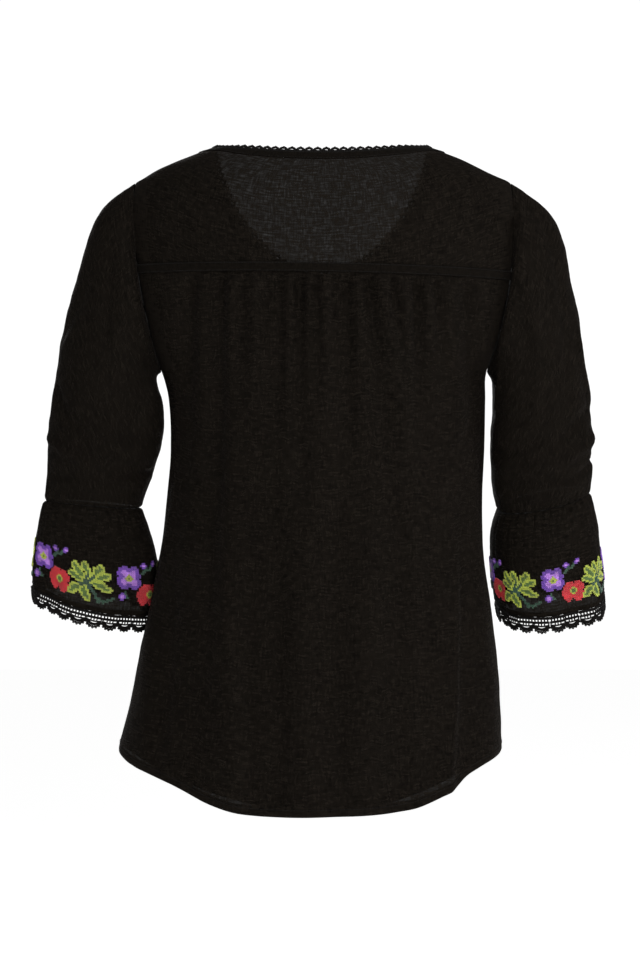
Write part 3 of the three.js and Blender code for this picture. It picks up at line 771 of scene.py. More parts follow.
def charted():
    """Every square of one repeat that is stitched, as (column, row): letter."""
    squares = {}
    for column, row, motif in MOTIFS:
        for j, line in enumerate(motif):
            for i, letter in enumerate(line):
                if letter != ".":
                    squares[(column + i) % CELLS_PER_REPEAT, row + j] = letter
    return squares


BAND_ABOVE_LACE = 8.0  # the lowest stitch above the flounce's edge, in millimetres
BAND_MIDDLE = 22  # from the lowest stitch up to where the squares are measured round the flounce
EMBROIDERY_START = {"left": 13, "right": 42}  # how many squares the first repeat is moved round each flounce
SQUARE = 1.6  # the side of one square, in millimetres, that the cross stitch is drawn for
THREADS = {
    "red": ("R", (0.50, 0.012, 0.022)),
    "purple": ("P", (0.125, 0.035, 0.33)),
    "lilac": ("L", (0.44, 0.20, 0.66)),
    "leaf": ("Y", (0.36, 0.42, 0.045)),
    "green": ("G", (0.07, 0.13, 0.02)),
    "stem": ("S", (0.012, 0.055, 0.028)),
}


# ---- Finishes ----


class Finish:
    """A material and the few calls that its node tree is drawn with."""

    def __init__(self, name):
        self.material = bpy.data.materials.new(name)
        self.material.use_nodes = True
        self.nodes, self.links = self.material.node_tree.nodes, self.material.node_tree.links
        self.shader = self.nodes["Principled BSDF"]

    def node(self, kind, **values):
        node = self.nodes.new(kind)
        for key, value in values.items():
            setattr(node, key, value)
        return node

    def link(self, source, target):
        self.links.new(source, target)

    def math(self, operation, a, b=None, clamp=False):
        node = self.node("ShaderNodeMath", operation=operation, use_clamp=clamp)
        for socket, value in zip(node.inputs, (a, b)):
            if isinstance(value, bpy.types.NodeSocket):
                self.link(value, socket)
            elif value is not None:
                socket.default_value = value
        return node.outputs[0]

    def noise(self, places, scale, detail=2.0):
        """Noise over the cloth; scale is how many times per metre, across and down."""
        mapping = self.node("ShaderNodeMapping")
        mapping.inputs["Scale"].default_value = (*scale, 1.0) if len(scale) == 2 else scale
        self.link(places, mapping.inputs["Vector"])
        node = self.node("ShaderNodeTexNoise")
        node.inputs["Scale"].default_value = 1.0
        node.inputs["Detail"].default_value = detail
        self.link(mapping.outputs["Vector"], node.inputs["Vector"])
        return node.outputs["Fac"]

    def ramp(self, fac, low, high, at=(0.3, 0.7)):
        node = self.node("ShaderNodeValToRGB")
        for element, place, colour in zip(node.color_ramp.elements, at, (low, high)):
            element.position, element.color = place, (*colour, 1.0)
        self.link(fac, node.inputs["Fac"])
        return node.outputs["Color"]

    def bump(self, height, strength, distance):
        node = self.node("ShaderNodeBump")
        node.inputs["Strength"].default_value = strength
        node.inputs["Distance"].default_value = distance
        self.link(height, node.inputs["Height"])
        self.link(node.outputs["Normal"], self.shader.inputs["Normal"])

    def weighted(self, a, share, b, other):
        return self.math("ADD", self.math("MULTIPLY", a, share), self.math("MULTIPLY", b, other))

    def surface(self, values):
        """Sets what is the same all over on the shader's own sockets."""
        for name, value in values.items():
            self.shader.inputs[name].default_value = value


def scaled(colour, factor):
    return tuple(c * factor for c in colour)


def voile_finish(colour, sheerness):
    """Slubby black voile: crosswise and lengthwise threads of uneven thickness, and light through the gaps."""
    f = Finish("black_voile")
    places = f.node("ShaderNodeTexCoord").outputs["UV"]
    weft = f.noise(places, (90, 620), 3.0)
    warp = f.noise(places, (620, 110), 3.0)
    # Large soft patches of lighter and darker base colour: uneven tone of the cloth, and also painted glints of light
    # on the cloth.
    tone_and_glint_patches = f.noise(places, (24, 18), 3.0)
    threads = f.weighted(weft, 0.55, warp, 0.45)
    shades = f.weighted(threads, 0.92, tone_and_glint_patches, 0.08)
    # The base colour carries the threads' tone and the painted glint patches.
    f.link(f.ramp(shades, scaled(colour, 0.45), scaled(colour, 1.75), (0.38, 0.64)), f.shader.inputs["Base Color"])
    layers = f.node("ShaderNodeAttribute", attribute_name="layers").outputs["Fac"]
    gaps = f.math("ADD", f.math("MULTIPLY", f.math("SUBTRACT", 0.5, threads), 8.0), 0.9)  # more where threads thin
    open_share = f.math("MULTIPLY", sheerness, gaps, clamp=True)
    f.link(f.math("SUBTRACT", 1.0, f.math("POWER", open_share, layers), clamp=True), f.shader.inputs["Alpha"])
    f.surface({"Roughness": 0.86, "Sheen Weight": 0.012, "Sheen Roughness": 0.45, "Sheen Tint": (0.6, 0.5, 0.45, 1.0)})
    f.surface({"Specular IOR Level": 0.02})
    f.bump(threads, 0.2, 0.0003)
    return f.material


def folded_finish(colour):
    """Opaque folded cotton of the seam band and the neck binding."""
    f = Finish("folded_cotton")
    places = f.node("ShaderNodeTexCoord").outputs["UV"]
    threads = f.weighted(f.noise(places, (160, 1100)), 0.5, f.noise(places, (1100, 160)), 0.5)
    f.link(f.ramp(threads, scaled(colour, 0.5), scaled(colour, 1.5), (0.36, 0.64)), f.shader.inputs["Base Color"])
    f.surface({"Roughness": 0.9, "Sheen Weight": 0.008, "Specular IOR Level": 0.02})
    f.bump(threads, 0.4, 0.0004)
    return f.material


def thread_finish(name, colour, sheen, roughness, gloss=0.35):
    """Twisted cotton thread."""
    f = Finish(name)
    places = f.node("ShaderNodeTexCoord").outputs["Object"]
    strands = f.noise(places, (900, 900, 900), 2.0)
    shades = f.noise(places, (120, 120, 120), 1.0)
    both = f.weighted(strands, 0.5, shades, 0.5)
    f.link(f.ramp(both, scaled(colour, 0.55), scaled(colour, 1.3)), f.shader.inputs["Base Color"])
    f.surface({"Roughness": roughness, "Sheen Weight": sheen, "Specular IOR Level": gloss})
    f.bump(strands, 0.4, 0.0003)
    return f.material


def finish_named(name, make, *values):
    return bpy.data.materials.get(name) or make(*values)


def black_voile(cloth):
    return finish_named("black_voile", voile_finish, tuple(cloth.colour), cloth.sheerness)


def folded_cotton(cloth):
    return finish_named("folded_cotton", folded_finish, scaled(cloth.colour, 0.8))


def black_thread():
    return finish_named("black_thread", thread_finish, "black_thread", (0.0062, 0.0054, 0.005), 0.01, 0.7, 0.08)


def black_crochet(trim):
    return finish_named("black_crochet", thread_finish, "black_crochet", tuple(trim.lace), 0.01, 0.75, 0.06)


# ---- The shared seams of the body ----

NECK_EDGE = BINDING_WIDTH + 0.2  # how far below the neckline the yoke and the front begin


def front_seam_degrees():
    degrees = 90.0
    while body_point(neckline(degrees, NECK_EDGE)).y < FRONT_SEAM_NECK_Y:
        degrees += 0.1
    return degrees


FRONT_SEAM_DEGREES = front_seam_degrees()
FRONT_SEAM_ARM_DEGREES = armhole_degrees(FRONT_SEAM_TIP_Z)


def from_left(place):
    return place[0] - 360, place[1]


def yoke_seam_end(side, lower):
    return armhole(side, True, armhole_degrees(yoke_seam_z(armhole_x(side, YOKE_SEAM_Z), lower)))


def yoke_seam(lower):
    left, right = yoke_seam_end("left", lower), yoke_seam_end("right", lower)
    x0, x1 = body_point(left).x, body_point(right).x

    def path(t):
        z = mix(left[1], right[1], t)
        return turn_at(mix(x0, x1, t), z, True), z

    return path


def front_seam(side):
    neck = neckline(360 - FRONT_SEAM_DEGREES if side == "left" else FRONT_SEAM_DEGREES, NECK_EDGE)
    return between(neck, armhole(side, False, FRONT_SEAM_ARM_DEGREES))


def panel_side(side, back, from_degrees, arm_rows, side_rows):
    sign = sign_of(side)

    def clear(place):
        away = abs(place[0] - 360 if place[0] > 180 else place[0])
        turn = sign * (min(away, 90) if back else max(away, 90))
        return (turn + 360 if not back and side == "left" else turn), place[1]

    arm = spaced(lambda t: clear(armhole(side, back, mix(from_degrees, 180, t))), arm_rows)
    seam = spaced(lambda t: clear((sign * 90, mix(UNDERARM_Z, HEM_SIDE_Z, t))), side_rows)
    return joined(arm, seam)


def cloth_on_body(grid):
    return Cloth([[body_point(p) for p in row] for row in grid], [[body_normal(p) for p in row] for row in grid])


# ---- Body pieces ----

# How many layers of voile the light meets, where the cloth is more than single.
HEM_LAYERS, ALLOWANCE_LAYERS, OPAQUE_LAYERS = 2.6, 1.3, 4.0


def ride_as(piece, slot, *nodes):
    """Ties a piece to the body and lets it stand for its solids."""
    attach(piece, "root")
    if nodes:
        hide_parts(*nodes)
    return piece


def back_yoke_grid(rows=44, seam_columns=150, tip_columns=24):
    lower = -YOKE_BAND_WIDTH / 2

    def over_shoulder(side):
        corner = armhole_degrees(yoke_seam_end(side, lower)[1])

        def path(t):
            degrees = mix(-FRONT_SEAM_ARM_DEGREES, corner, t)
            if degrees >= 0:
                return armhole(side, True, degrees)
            place = armhole(side, False, -degrees)
            return from_left(place) if side == "left" else place

        return path

    bottom = joined(
        spaced(over_shoulder("left"), tip_columns),
        spaced(yoke_seam(lower), seam_columns),
        spaced(lambda t: over_shoulder("right")(1 - t), tip_columns),
    )

    def neck_edge(t):
        degrees = mix(-FRONT_SEAM_DEGREES, FRONT_SEAM_DEGREES, t)
        place = neckline(degrees, NECK_EDGE)
        return from_left(place) if degrees < -90 else place

    top = spaced(neck_edge, len(bottom) - 1)
    left = [from_left(p) for p in spaced(front_seam("left"), rows)]
    right = spaced(front_seam("right"), rows)
    return patch(top, bottom, left, right)


def back_panel_grid(columns=176, arm_rows=36, side_rows=124):
    lower = YOKE_BAND_WIDTH / 2
    hem = spaced(lambda t: (mix(-90, 90, t), profile(BACK_HEM, mix(-90, 90, t), 1)), columns)
    sides = [
        panel_side(side, True, armhole_degrees(yoke_seam_end(side, lower)[1]), arm_rows, side_rows)
        for side in ("left", "right")
    ]
    return patch(spaced(yoke_seam(lower), columns), hem, *sides)


def front_panel_grid(columns=84, shoulder=18, arm_rows=36, side_rows=74):
    def scoop(t):
        return neckline(mix(FRONT_SEAM_DEGREES, 360 - FRONT_SEAM_DEGREES, t), NECK_EDGE)

    top = joined(
        spaced(lambda t: front_seam("right")(1 - t), shoulder),
        spaced(scoop, columns),
        spaced(front_seam("left"), shoulder),
    )

    def hem(t):
        turn = mix(90, 270, t)
        return turn, HEM_SIDE_Z - FRONT_HEM_DROP * abs(math.cos(math.radians(turn))) ** FRONT_HEM_SHAPE

    sides = [panel_side(side, False, FRONT_SEAM_ARM_DEGREES, arm_rows, side_rows) for side in ("right", "left")]
    return patch(top, spaced(hem, len(top) - 1), *sides, fade=2)


def edge_share(j, i, rows, columns, reach=6):
    """0 at the edges of a panel and 1 a few rows or columns inside it."""
    return smooth(min(j, rows - 1 - j, i, columns - 1 - i) / reach)


SEAM_ALLOWANCE = 14.0


def seam_allowance(point):
    """1 where a point of the body lies on the armhole's seam allowance and 0 past it."""
    if point.z < UNDERARM_Z or point.z > 0:
        return 0.0
    edge = abs(armhole_x("left" if point.x < 0 else "right", point.z))
    return smooth((SEAM_ALLOWANCE - (edge - abs(point.x))) / 3.0)


def neck_trim_grid(lowers, columns=320):
    degrees = [360 * k / columns for k in range(columns)]
    return [[neckline(d, lower or 1e-6) for d in degrees] for lower in lowers]


# ---- Sleeve pieces ----


def sleeve_ring(side, row, columns):
    """A ring of a sleeve at a row from 0, the armhole, to 15, the lace's end: a smooth curve through the rows
    with a sharp turn at the gathered seam."""
    sign = sign_of(side)
    sections = SLEEVES[side]

    def at(k, down, back):
        if k <= 0:
            p = body_point(armhole(side, back, down))
            return Vector((p.x + sign * ARMHOLE_CLEARANCE, p.y, p.z))
        out_x, out_z, in_x, in_z, depth, forward, dip = sections[min(k, len(sections)) - 1]
        share = (1 + math.cos(math.radians(down))) / 2
        behind = abs(math.sin(math.radians(down))) ** SLEEVE_SQUARENESS * (1 if back else -1)
        z = mix(in_z, out_z, share) - dip * behind
        return Vector((sign * mix(in_x, out_x, share), forward - depth * behind, z))

    k = min(int(row), END_ROW - 1)
    t = row - k
    ring = []
    for i in range(columns):
        turn = 360 * i / columns
        down = abs(180 - turn) if side == "right" else 180 - abs(180 - turn)
        back = turn <= 180
        a, b, c, d = (at(max(0, min(END_ROW, k + o)), down, back) for o in (-1, 0, 1, 2))
        m0 = c - b if k in (0, GATHERED_ROW) else (c - a) / 2
        m1 = c - b if k in (GATHERED_ROW - 1, END_ROW - 1) else (d - b) / 2
        t2, t3 = t * t, t * t * t
        ring.append(b * (2 * t3 - 3 * t2 + 1) + m0 * (t3 - 2 * t2 + t) + c * (3 * t2 - 2 * t3) + m1 * (t3 - t2))
    return ring


def inner_turn(side, i, columns):
    """Degrees round the sleeve from its inner seam, through the back, to 180 outside."""
    turn = 360 * i / columns
    return turn if side == "right" else (180 - turn) % 360


def sleeve_fold(side, row, turn):
    lift = 0.0
    for turn0, row0, turn1, row1, half, depth in SLEEVE_FOLDS[side]:
        dx, dz = (turn1 - turn0) * DEGREE_LENGTH, (row1 - row0) * ROW_LENGTH
        px, pz = (((turn - turn0 + 180) % 360) - 180) * DEGREE_LENGTH, (row - row0) * ROW_LENGTH
        length = math.hypot(dx, dz)
        along = (px * dx + pz * dz) / length**2
        if -FOLD_OVERRUN < along < 1 + FOLD_OVERRUN:
            away = (px * dz - pz * dx) / length + 0.3 * half * math.sin(6 * along + turn0)
            lift += depth * fold_ends(along) * math.exp(-((away / half) ** 2))
    return lift


def shirring(side, row, turn):
    """The fine gathers above and below the gathered seam of a sleeve."""
    away = abs(row - GATHERED_ROW) * ROW_LENGTH
    reach = 16 if row < GATHERED_ROW else 30
    phase = turn * 0.62 + 1.9 * math.sin(turn * 0.049 + sign_of(side)) + 0.9 * math.sin(turn * 0.13)
    waves = math.sin(phase) + 0.5 * math.sin(2.0 * phase + 0.8 * math.sin(turn * 0.07))
    pinch = -1.8 * math.exp(-((away / 3.0) ** 2))
    return pinch + 0.85 * waves * smooth(away / 2.5 + 0.25) * math.exp(-away / reach)


def flutes(side, row, turn):
    """The soft flare of the flounce."""
    share = smooth((row - GATHERED_ROW) / 3.5)
    phase = math.radians(turn)
    return share * (1.7 * math.sin(5 * phase + 0.7 + sign_of(side)) + 1.2 * math.sin(8 * phase + 2.1 * sign_of(side)))


def sleeve_cloth(side, first, last, rows, columns=240):
    steps = [mix(first, last, j / rows) for j in range(rows + 1)]
    cloth = Cloth([sleeve_ring(side, row, columns) for row in steps], tube=True)

    def lift(point, j, i):
        row, turn = steps[j], inner_turn(side, i, columns)
        start = smooth((row - 0.05) / 0.5)
        folds = sleeve_fold(side, row, turn) * start * (0.35 if row > GATHERED_ROW else 1.0)
        rough = (limp(point, 48, 1.7 + sign_of(side)) * 1.5 + limp(point, 15, 4.0) * 0.35) * start
        return folds + rough + shirring(side, row, turn) + (flutes(side, row, turn) if row > GATHERED_ROW else 0.0)

    return cloth.lifted(lift)


def on_cloth(cloth, across, down):
    """The point, the way across and the outward normal at a place of a tube of cloth: across in columns and
    down in rows, both with fractions."""
    columns = len(cloth.points[0])
    i, u = int(math.floor(across)), across - math.floor(across)
    j = min(len(cloth.points) - 2, max(0, int(down)))
    v = down - j
    a, b = cloth.points[j][i % columns], cloth.points[j][(i + 1) % columns]
    c, d = cloth.points[j + 1][i % columns], cloth.points[j + 1][(i + 1) % columns]
    n = cloth.normals[j][i % columns].lerp(cloth.normals[j + 1][(i + 1) % columns], 0.5)
    return a.lerp(b, u).lerp(c.lerp(d, u), v), b - a, n.normalized()


def round_lengths(points):
    lengths = [0.0]
    for k in range(1, len(points) + 1):
        lengths.append(lengths[-1] + (points[k % len(points)] - points[k - 1]).length)
    return lengths


def column_at(lengths, length):
    length %= lengths[-1]
    low, high = 0, len(lengths) - 1
    while high - low > 1:
        mid = (low + high) // 2
        low, high = (mid, high) if lengths[mid] <= length else (low, mid)
    return low + (length - lengths[low]) / (lengths[high] - lengths[low])


def row_above(cloth, column, height):
    """The row, with its fraction, that lies a height above the cloth's lower edge on one column."""
    i, j, left = int(column) % len(cloth.points[0]), len(cloth.points) - 1, height
    while j > 0:
        step = (cloth.points[j][i] - cloth.points[j - 1][i]).length
        if left <= step:
            return j - left / step
        left -= step
        j -= 1
    return 0.0


def evenly(points, pitch, closed=True):
    """Even steps along a line of points: the point, the ones before and after it, and the step's true length."""
    lengths = round_lengths(points)
    total = lengths[-1] if closed else lengths[-2]
    count = max(1, round(total / pitch))
    for k in range(count):
        place = column_at(lengths, total * (k + 0.5) / count)
        i = int(place) % len(points)
        n = (i + 1) % len(points)
        yield points[i].lerp(points[n], place - int(place)), i, n, total / count


ON_SHEET = 0.3  # the height of a stitch over the middle of one layer of cloth


def topstitch(name, slot, seams, pitch):
    """Small stitches along rows of cloth: each seam is (cloth, row, height over the cloth's middle)."""
    stitches = Spots()
    for cloth, row, height in seams:
        points, normals = cloth.points[row], cloth.normals[row]
        for at, i, n, _ in evenly(points, pitch / MM, cloth.tube):
            stitches.add(at + normals[i] * height, points[n] - points[i], normals[i])
    ride_as(repeat(name, stitches, stitch_unit(), black_thread()), slot)


def embroider(cloth, side, spots):
    """Lays the charted cross stitches round a flounce; each colour has spots of its own."""
    middle = row_above(cloth, 0, BAND_ABOVE_LACE + BAND_MIDDLE)
    ring = [on_cloth(cloth, i, middle)[0] for i in range(len(cloth.points[0]))]
    lengths = round_lengths(ring)
    cell = lengths[-1] / CELLS_ROUND
    squares = charted()
    for k in range(CELLS_ROUND):
        column = column_at(lengths, (k + EMBROIDERY_START[side]) * cell)
        for line in range(CELL_ROWS):
            letter = squares.get((k % CELLS_PER_REPEAT, line))
            if not letter:
                continue
            height = BAND_ABOVE_LACE + (CELL_ROWS - 1 - line) * cell
            point, across, normal = on_cloth(cloth, column, row_above(cloth, column, height))
            spots[letter].add(point + normal * 0.25, across, normal, cell / SQUARE)


# ---- Settings ----


class BlouseClothSettings(bpy.types.PropertyGroup):
    colour: FloatVectorProperty(
        name="Voile", description="Colour of the voile",
        default=(0.0046, 0.0036, 0.0027), subtype="COLOR", min=0, max=1,
    )
    sheerness: FloatProperty(
        name="Sheerness", description="Share of light that one side of a single layer lets through",
        default=0.082, min=0, max=1, subtype="FACTOR",
    )
    folds: FloatProperty(
        name="Folds", description="Strength of the folds and gathers", default=1.0, min=0, max=1.5,
    )


class BlouseTrimSettings(bpy.types.PropertyGroup):
    lace: FloatVectorProperty(
        name="Crochet", description="Colour of the crochet cotton",
        default=(0.0036, 0.0030, 0.0027), subtype="COLOR", min=0, max=1,
    )
    scallop: FloatProperty(
        name="Scallop", description="Width of one scallop of the cuff lace",
        default=SCALLOP_WIDTH * MM, unit="LENGTH", min=0.005, max=0.05,
    )
    bump: FloatProperty(
        name="Edging bump", description="Width of one bump of the neck edging",
        default=BUMP_WIDTH * MM, unit="LENGTH", min=0.003, max=0.03,
    )
    stitch: FloatProperty(
        name="Stitch", description="Pitch of the topstitching",
        default=0.003, unit="LENGTH", min=0.001, max=0.01,
    )


class BlouseStageSettings(bpy.types.PropertyGroup):
    distance: FloatProperty(
        name="Camera distance", description="From the camera to the blouse",
        default=2.5, unit="LENGTH", min=1, max=10,
    )
    lens: FloatProperty(
        name="Lens", description="Focal length in millimetres", default=93.75, min=20, max=300,
    )
    key: FloatProperty(
        name="Key light", description="Power of the main softbox",
        default=44.0, unit="POWER", min=0, max=1000,
    )


# ---- One operator for each group of pieces ----


class BLOUSE_OT_back(bpy.types.Operator):
    """Yoke, felled seam and gathered back panel"""

    bl_idname = "blouse.back"
    bl_label = "Back and Yoke"

    def execute(self, context):
        cloth = context.scene.blouse_cloth
        trim = context.scene.blouse_trim
        voile, folded = black_voile(cloth), folded_cotton(cloth)

        yoke = cloth_on_body(back_yoke_grid())
        rows, columns = len(yoke.points), len(yoke.points[0])

        def yoke_lift(p, j, i):
            creases = sum(ridge(p, *c) for c in BACK_CREASES if p.y < 0)
            return cloth.folds * (creases + limp(p, 70, 2.2) * 1.3) * edge_share(j, i, rows, columns)

        yoke = yoke.lifted(yoke_lift)
        yoke.paint(lambda j, i: 1.0 + ALLOWANCE_LAYERS * seam_allowance(yoke.points[j][i]))
        piece = ride_as(yoke.build("back_yoke_voile", voile), "voile", "back_yoke")

        half = YOKE_BAND_WIDTH / 2
        band = cloth_on_body([spaced(yoke_seam(mix(-half, half, k / 8)), 300) for k in range(9)])
        swell = [0.1, 0.7, 0.85, 0.8, 0.8, 0.8, 0.9, 0.7, 0.1]

        def band_lift(p, j, i):
            puckers = 0.18 * math.sin(p.x * 0.8 + 2 * math.sin(p.x * 0.1)) * (j / 8)
            return swell[j] + puckers + limp(p, 30, 1.0) * 0.5

        band = band.lifted(band_lift)
        band.paint(lambda j, i: OPAQUE_LAYERS)
        piece = ride_as(band.build("felled_yoke_seam", folded, 0.9), "voile", "yoke_seam_band")

        flat = cloth_on_body(back_panel_grid())
        back_rows, back_columns = len(flat.points), len(flat.points[0])

        def panel_lift(p, j, i):
            sides = smooth(min(i, back_columns - 1 - i) / 7)
            hem = SHEET * smooth((j - (back_rows - 5)) / 1.5)
            return cloth.folds * back_lift(p, sides) * (0.25 + 0.75 * sides) + hem

        def layers(j, i):
            point, from_side = flat.points[j][i], min(i, back_columns - 1 - i)
            near_hem = HEM_LAYERS if j >= back_rows - 3 else 1.0
            near_side = 1.0 + smooth((6 - from_side * 2.2) / 3) if point.z < UNDERARM_Z else 1.0
            return max(near_hem, near_side, 1.0 + ALLOWANCE_LAYERS * seam_allowance(point))

        back = flat.lifted(panel_lift)
        back.paint(layers)
        piece = ride_as(back.build("gathered_back_voile", voile), "voile", "back_panel")

        topstitch("back_topstitching", "voile", [(band, 1, 0.5), (band, 7, 0.5), (back, -3, ON_SHEET)], trim.stitch)
        return {"FINISHED"}


class BLOUSE_OT_front(bpy.types.Operator):
    """Front panel with its scoop neck"""

    bl_idname = "blouse.front"
    bl_label = "Front"

    def execute(self, context):
        cloth = context.scene.blouse_cloth
        trim = context.scene.blouse_trim
        voile = black_voile(cloth)
        flat = cloth_on_body(front_panel_grid())
        rows, columns = len(flat.points), len(flat.points[0])

        def layers(j, i):
            near_hem = HEM_LAYERS if j >= rows - 2 else 1.0
            return max(near_hem, 1.0 + ALLOWANCE_LAYERS * seam_allowance(flat.points[j][i]))

        front = flat.lifted(lambda p, j, i: cloth.folds * front_lift(p, edge_share(j, i, rows + 8, columns)))
        front.paint(layers)
        piece = ride_as(front.build("front_voile", voile), "voile", "front_panel")
        topstitch("front_topstitching", "voile", [(front, -2, ON_SHEET)], trim.stitch)
        return {"FINISHED"}


class BLOUSE_OT_neck(bpy.types.Operator):
    """Neck binding and its crochet edging"""

    bl_idname = "blouse.neck"
    bl_label = "Neck Trim"

    def execute(self, context):
        cloth = context.scene.blouse_cloth
        trim = context.scene.blouse_trim
        folded = folded_cotton(cloth)
        binding = cloth_on_body(neck_trim_grid([mix(0.2, BINDING_WIDTH, k / 8) for k in range(9)]))
        binding.tube = True
        swell = [0.0, 0.4, 0.55, 0.6, 0.6, 0.6, 0.6, 0.45, 0.0]

        def binding_lift(p, j, i):
            return swell[j] + 0.12 * math.sin(i * 0.5 + math.sin(i * 0.13)) + limp(p, 26, 6.0) * 0.4

        binding = binding.lifted(binding_lift)
        binding.paint(lambda j, i: OPAQUE_LAYERS)
        piece = ride_as(binding.build("neck_binding_cotton", folded, 1.1), "binding", "neck_binding")

        topstitch("neck_topstitching", "binding", [(binding, 7, 0.62)], trim.stitch)

        edge, above = cloth_on_body(neck_trim_grid([-0.2, -1.0])).points
        bumps = Spots()
        for at, i, n, step in evenly(edge, trim.bump / MM):
            along = edge[n] - edge[i]
            bumps.add(at, along, along.cross(above[i] - edge[i]), step / BUMP_WIDTH)
        ride_as(repeat("neck_edging_crochet", bumps, edging_unit(), black_crochet(trim)), "lace", "neck_lace")
        return {"FINISHED"}


class BLOUSE_OT_sleeves(bpy.types.Operator):
    """Sleeves, flounces with their embroidery, and the cuff lace"""

    bl_idname = "blouse.sleeves"
    bl_label = "Sleeves and Flounces"

    def execute(self, context):
        cloth = context.scene.blouse_cloth
        trim = context.scene.blouse_trim
        voile, crochet = black_voile(cloth), black_crochet(trim)
        spots = {letter: Spots() for letter, _ in THREADS.values()}
        hems = []
        for side in ("left", "right"):
            arm = sleeve_cloth(side, 0, GATHERED_ROW, 120)
            arm.paint(lambda j, i: 1.8 if j < 2 or j > 118 else 1.0)
            piece = ride_as(arm.build(f"sleeve_{side}_voile", voile), "voile", f"sleeve_{side}")
            flounce = sleeve_cloth(side, GATHERED_ROW, LACE_ROW, 72)
            flounce.paint(lambda j, i: 2.4 if j > 68 or j < 2 else 1.0)
            piece = ride_as(flounce.build(f"flounce_{side}_voile", voile), "voile", f"flounce_{side}")
            embroider(flounce, side, spots)
            hems.append((flounce, 68, ON_SHEET))
            self.lace(flounce, side, trim, crochet)
        for name, (letter, colour) in THREADS.items():
            silk = finish_named(f"thread_{name}", thread_finish, f"thread_{name}", colour, 0.18, 0.5)
            ride_as(repeat(f"embroidery_{name}", spots[letter], cross_unit(), silk), "voile")
        topstitch("cuff_topstitching", "voile", hems, trim.stitch)
        return {"FINISHED"}

    def lace(self, flounce, side, trim, crochet):
        """Scallops side by side that hang from the flounce's edge."""
        edge, above = flounce.points[-1], flounce.points[-4]
        scallops = Spots()
        for at, i, _, step in evenly(edge, trim.scallop / MM):
            down = (edge[i] - above[i]).normalized()
            wide = edge[(i + 6) % len(edge)] - edge[i - 6]
            scallops.add(at + down * 0.3, wide, down.cross(wide), step / SCALLOP_WIDTH)
        ride_as(repeat(f"cuff_lace_{side}_crochet", scallops, scallop_unit(), crochet), "lace", f"cuff_lace_{side}")


WHITE = (1, 1, 1, 1)
FLOOR_Z, FLOOR_GLOW = -1.2, 0.85
BACKDROP_LIGHT, AMBIENT_LIGHT = 1.05, 0.14
MIDDLE_Z, CAMERA_X = -0.33, -0.002  # the height that the lights and the camera aim at, and the camera's place

# Softboxes: name, place in metres, power as a share of the key's, and size.
LIGHTS = (
    ("Key", (0.45, -2.1, 0.25), 1.0, 0.6),
    ("Rim", (1.8, -0.4, 0.5), 0.35, 0.8),
    ("Front", (-0.6, 2.3, 0.4), 0.8, 1.2),
    ("Top", (-0.2, -0.3, 1.5), 0.25, 0.9),
)


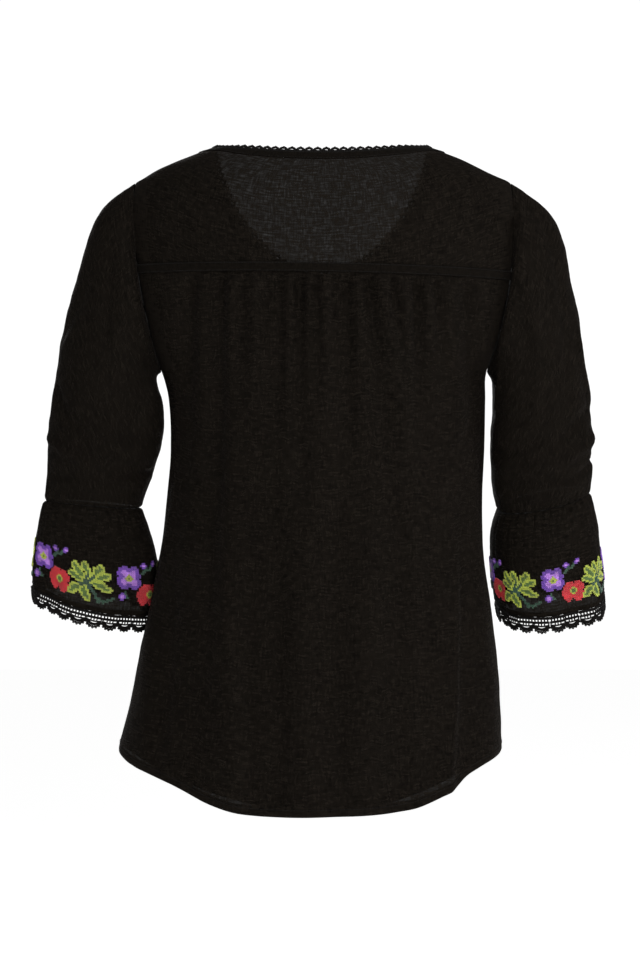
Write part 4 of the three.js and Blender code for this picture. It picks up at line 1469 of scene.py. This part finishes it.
class BLOUSE_OT_stage(bpy.types.Operator):
    """Pale floor, soft lights and the camera"""

    bl_idname = "blouse.stage"
    bl_label = "Stage"

    def execute(self, context):
        stage = context.scene.blouse_stage
        scene = context.scene
        ground = bpy.data.meshes.new("Floor")
        ground.from_pydata([(x, y, FLOOR_Z) for x, y in ((-6, -3), (6, -3), (6, 9), (-6, 9))], [], [(0, 1, 2, 3)])
        pale = Finish("pale_floor")
        pale.surface({"Base Color": (0.9, 0.9, 0.9, 1), "Roughness": 1.0})
        pale.surface({"Emission Color": WHITE, "Emission Strength": FLOOR_GLOW})
        ground.materials.append(pale.material)
        in_scene("Floor", ground)

        world = bpy.data.worlds.new("Studio")
        world.use_nodes = True
        nodes, links = world.node_tree.nodes, world.node_tree.links
        backdrop, ambient = nodes["Background"], nodes.new("ShaderNodeBackground")
        for node, strength in ((backdrop, BACKDROP_LIGHT), (ambient, AMBIENT_LIGHT)):
            node.inputs["Color"].default_value = WHITE
            node.inputs["Strength"].default_value = strength
        seen, either = nodes.new("ShaderNodeLightPath"), nodes.new("ShaderNodeMixShader")
        links.new(seen.outputs["Is Camera Ray"], either.inputs["Fac"])
        links.new(ambient.outputs["Background"], either.inputs[1])
        links.new(backdrop.outputs["Background"], either.inputs[2])
        links.new(either.outputs["Shader"], nodes["World Output"].inputs["Surface"])
        scene.world = world
        scene.view_settings.view_transform = "Standard"

        for name, at, share, size in LIGHTS:
            light = bpy.data.lights.new(name, "AREA")
            light.energy, light.size = stage.key * share, size
            lamp = in_scene(name, light)
            lamp.location = at
            lamp.rotation_euler = (Vector((0, 0, MIDDLE_Z)) - Vector(at)).to_track_quat("-Z", "Y").to_euler()

        camera = in_scene("Camera", bpy.data.cameras.new("Camera"))
        camera.data.lens = stage.lens
        camera.location = (CAMERA_X, -stage.distance, MIDDLE_Z)
        camera.rotation_euler = (math.pi / 2, 0, 0)
        scene.camera = camera
        return {"FINISHED"}


class BLOUSE_PT_panel(bpy.types.Panel):
    """Sizes, colours and steps of the blouse"""

    bl_label = "Blouse"
    bl_idname = "BLOUSE_PT_panel"
    bl_space_type = "VIEW_3D"
    bl_region_type = "UI"
    bl_category = "Blouse"

    def draw(self, context):
        column = self.layout.column()
        for settings in (context.scene.blouse_cloth, context.scene.blouse_trim, context.scene.blouse_stage):
            for key in settings.__annotations__:
                column.prop(settings, key)
        for operator in STEPS:
            column.operator(operator.bl_idname)


STEPS = (BLOUSE_OT_stage, BLOUSE_OT_back, BLOUSE_OT_front, BLOUSE_OT_neck, BLOUSE_OT_sleeves)
CLASSES = (BlouseClothSettings, BlouseTrimSettings, BlouseStageSettings, *STEPS, BLOUSE_PT_panel)


def register():
    for each in CLASSES:
        bpy.utils.register_class(each)
    bpy.types.Scene.blouse_cloth = PointerProperty(type=BlouseClothSettings)
    bpy.types.Scene.blouse_trim = PointerProperty(type=BlouseTrimSettings)
    bpy.types.Scene.blouse_stage = PointerProperty(type=BlouseStageSettings)


def unregister():
    del bpy.types.Scene.blouse_stage
    del bpy.types.Scene.blouse_trim
    del bpy.types.Scene.blouse_cloth
    for each in reversed(CLASSES):
        bpy.utils.unregister_class(each)


def main():
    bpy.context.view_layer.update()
    register()
    bpy.ops.blouse.stage()
    bpy.ops.blouse.back()
    bpy.ops.blouse.front()
    bpy.ops.blouse.neck()
    bpy.ops.blouse.sleeves()
    bpy.context.view_layer.update()


if __name__ == "__main__":
    main()
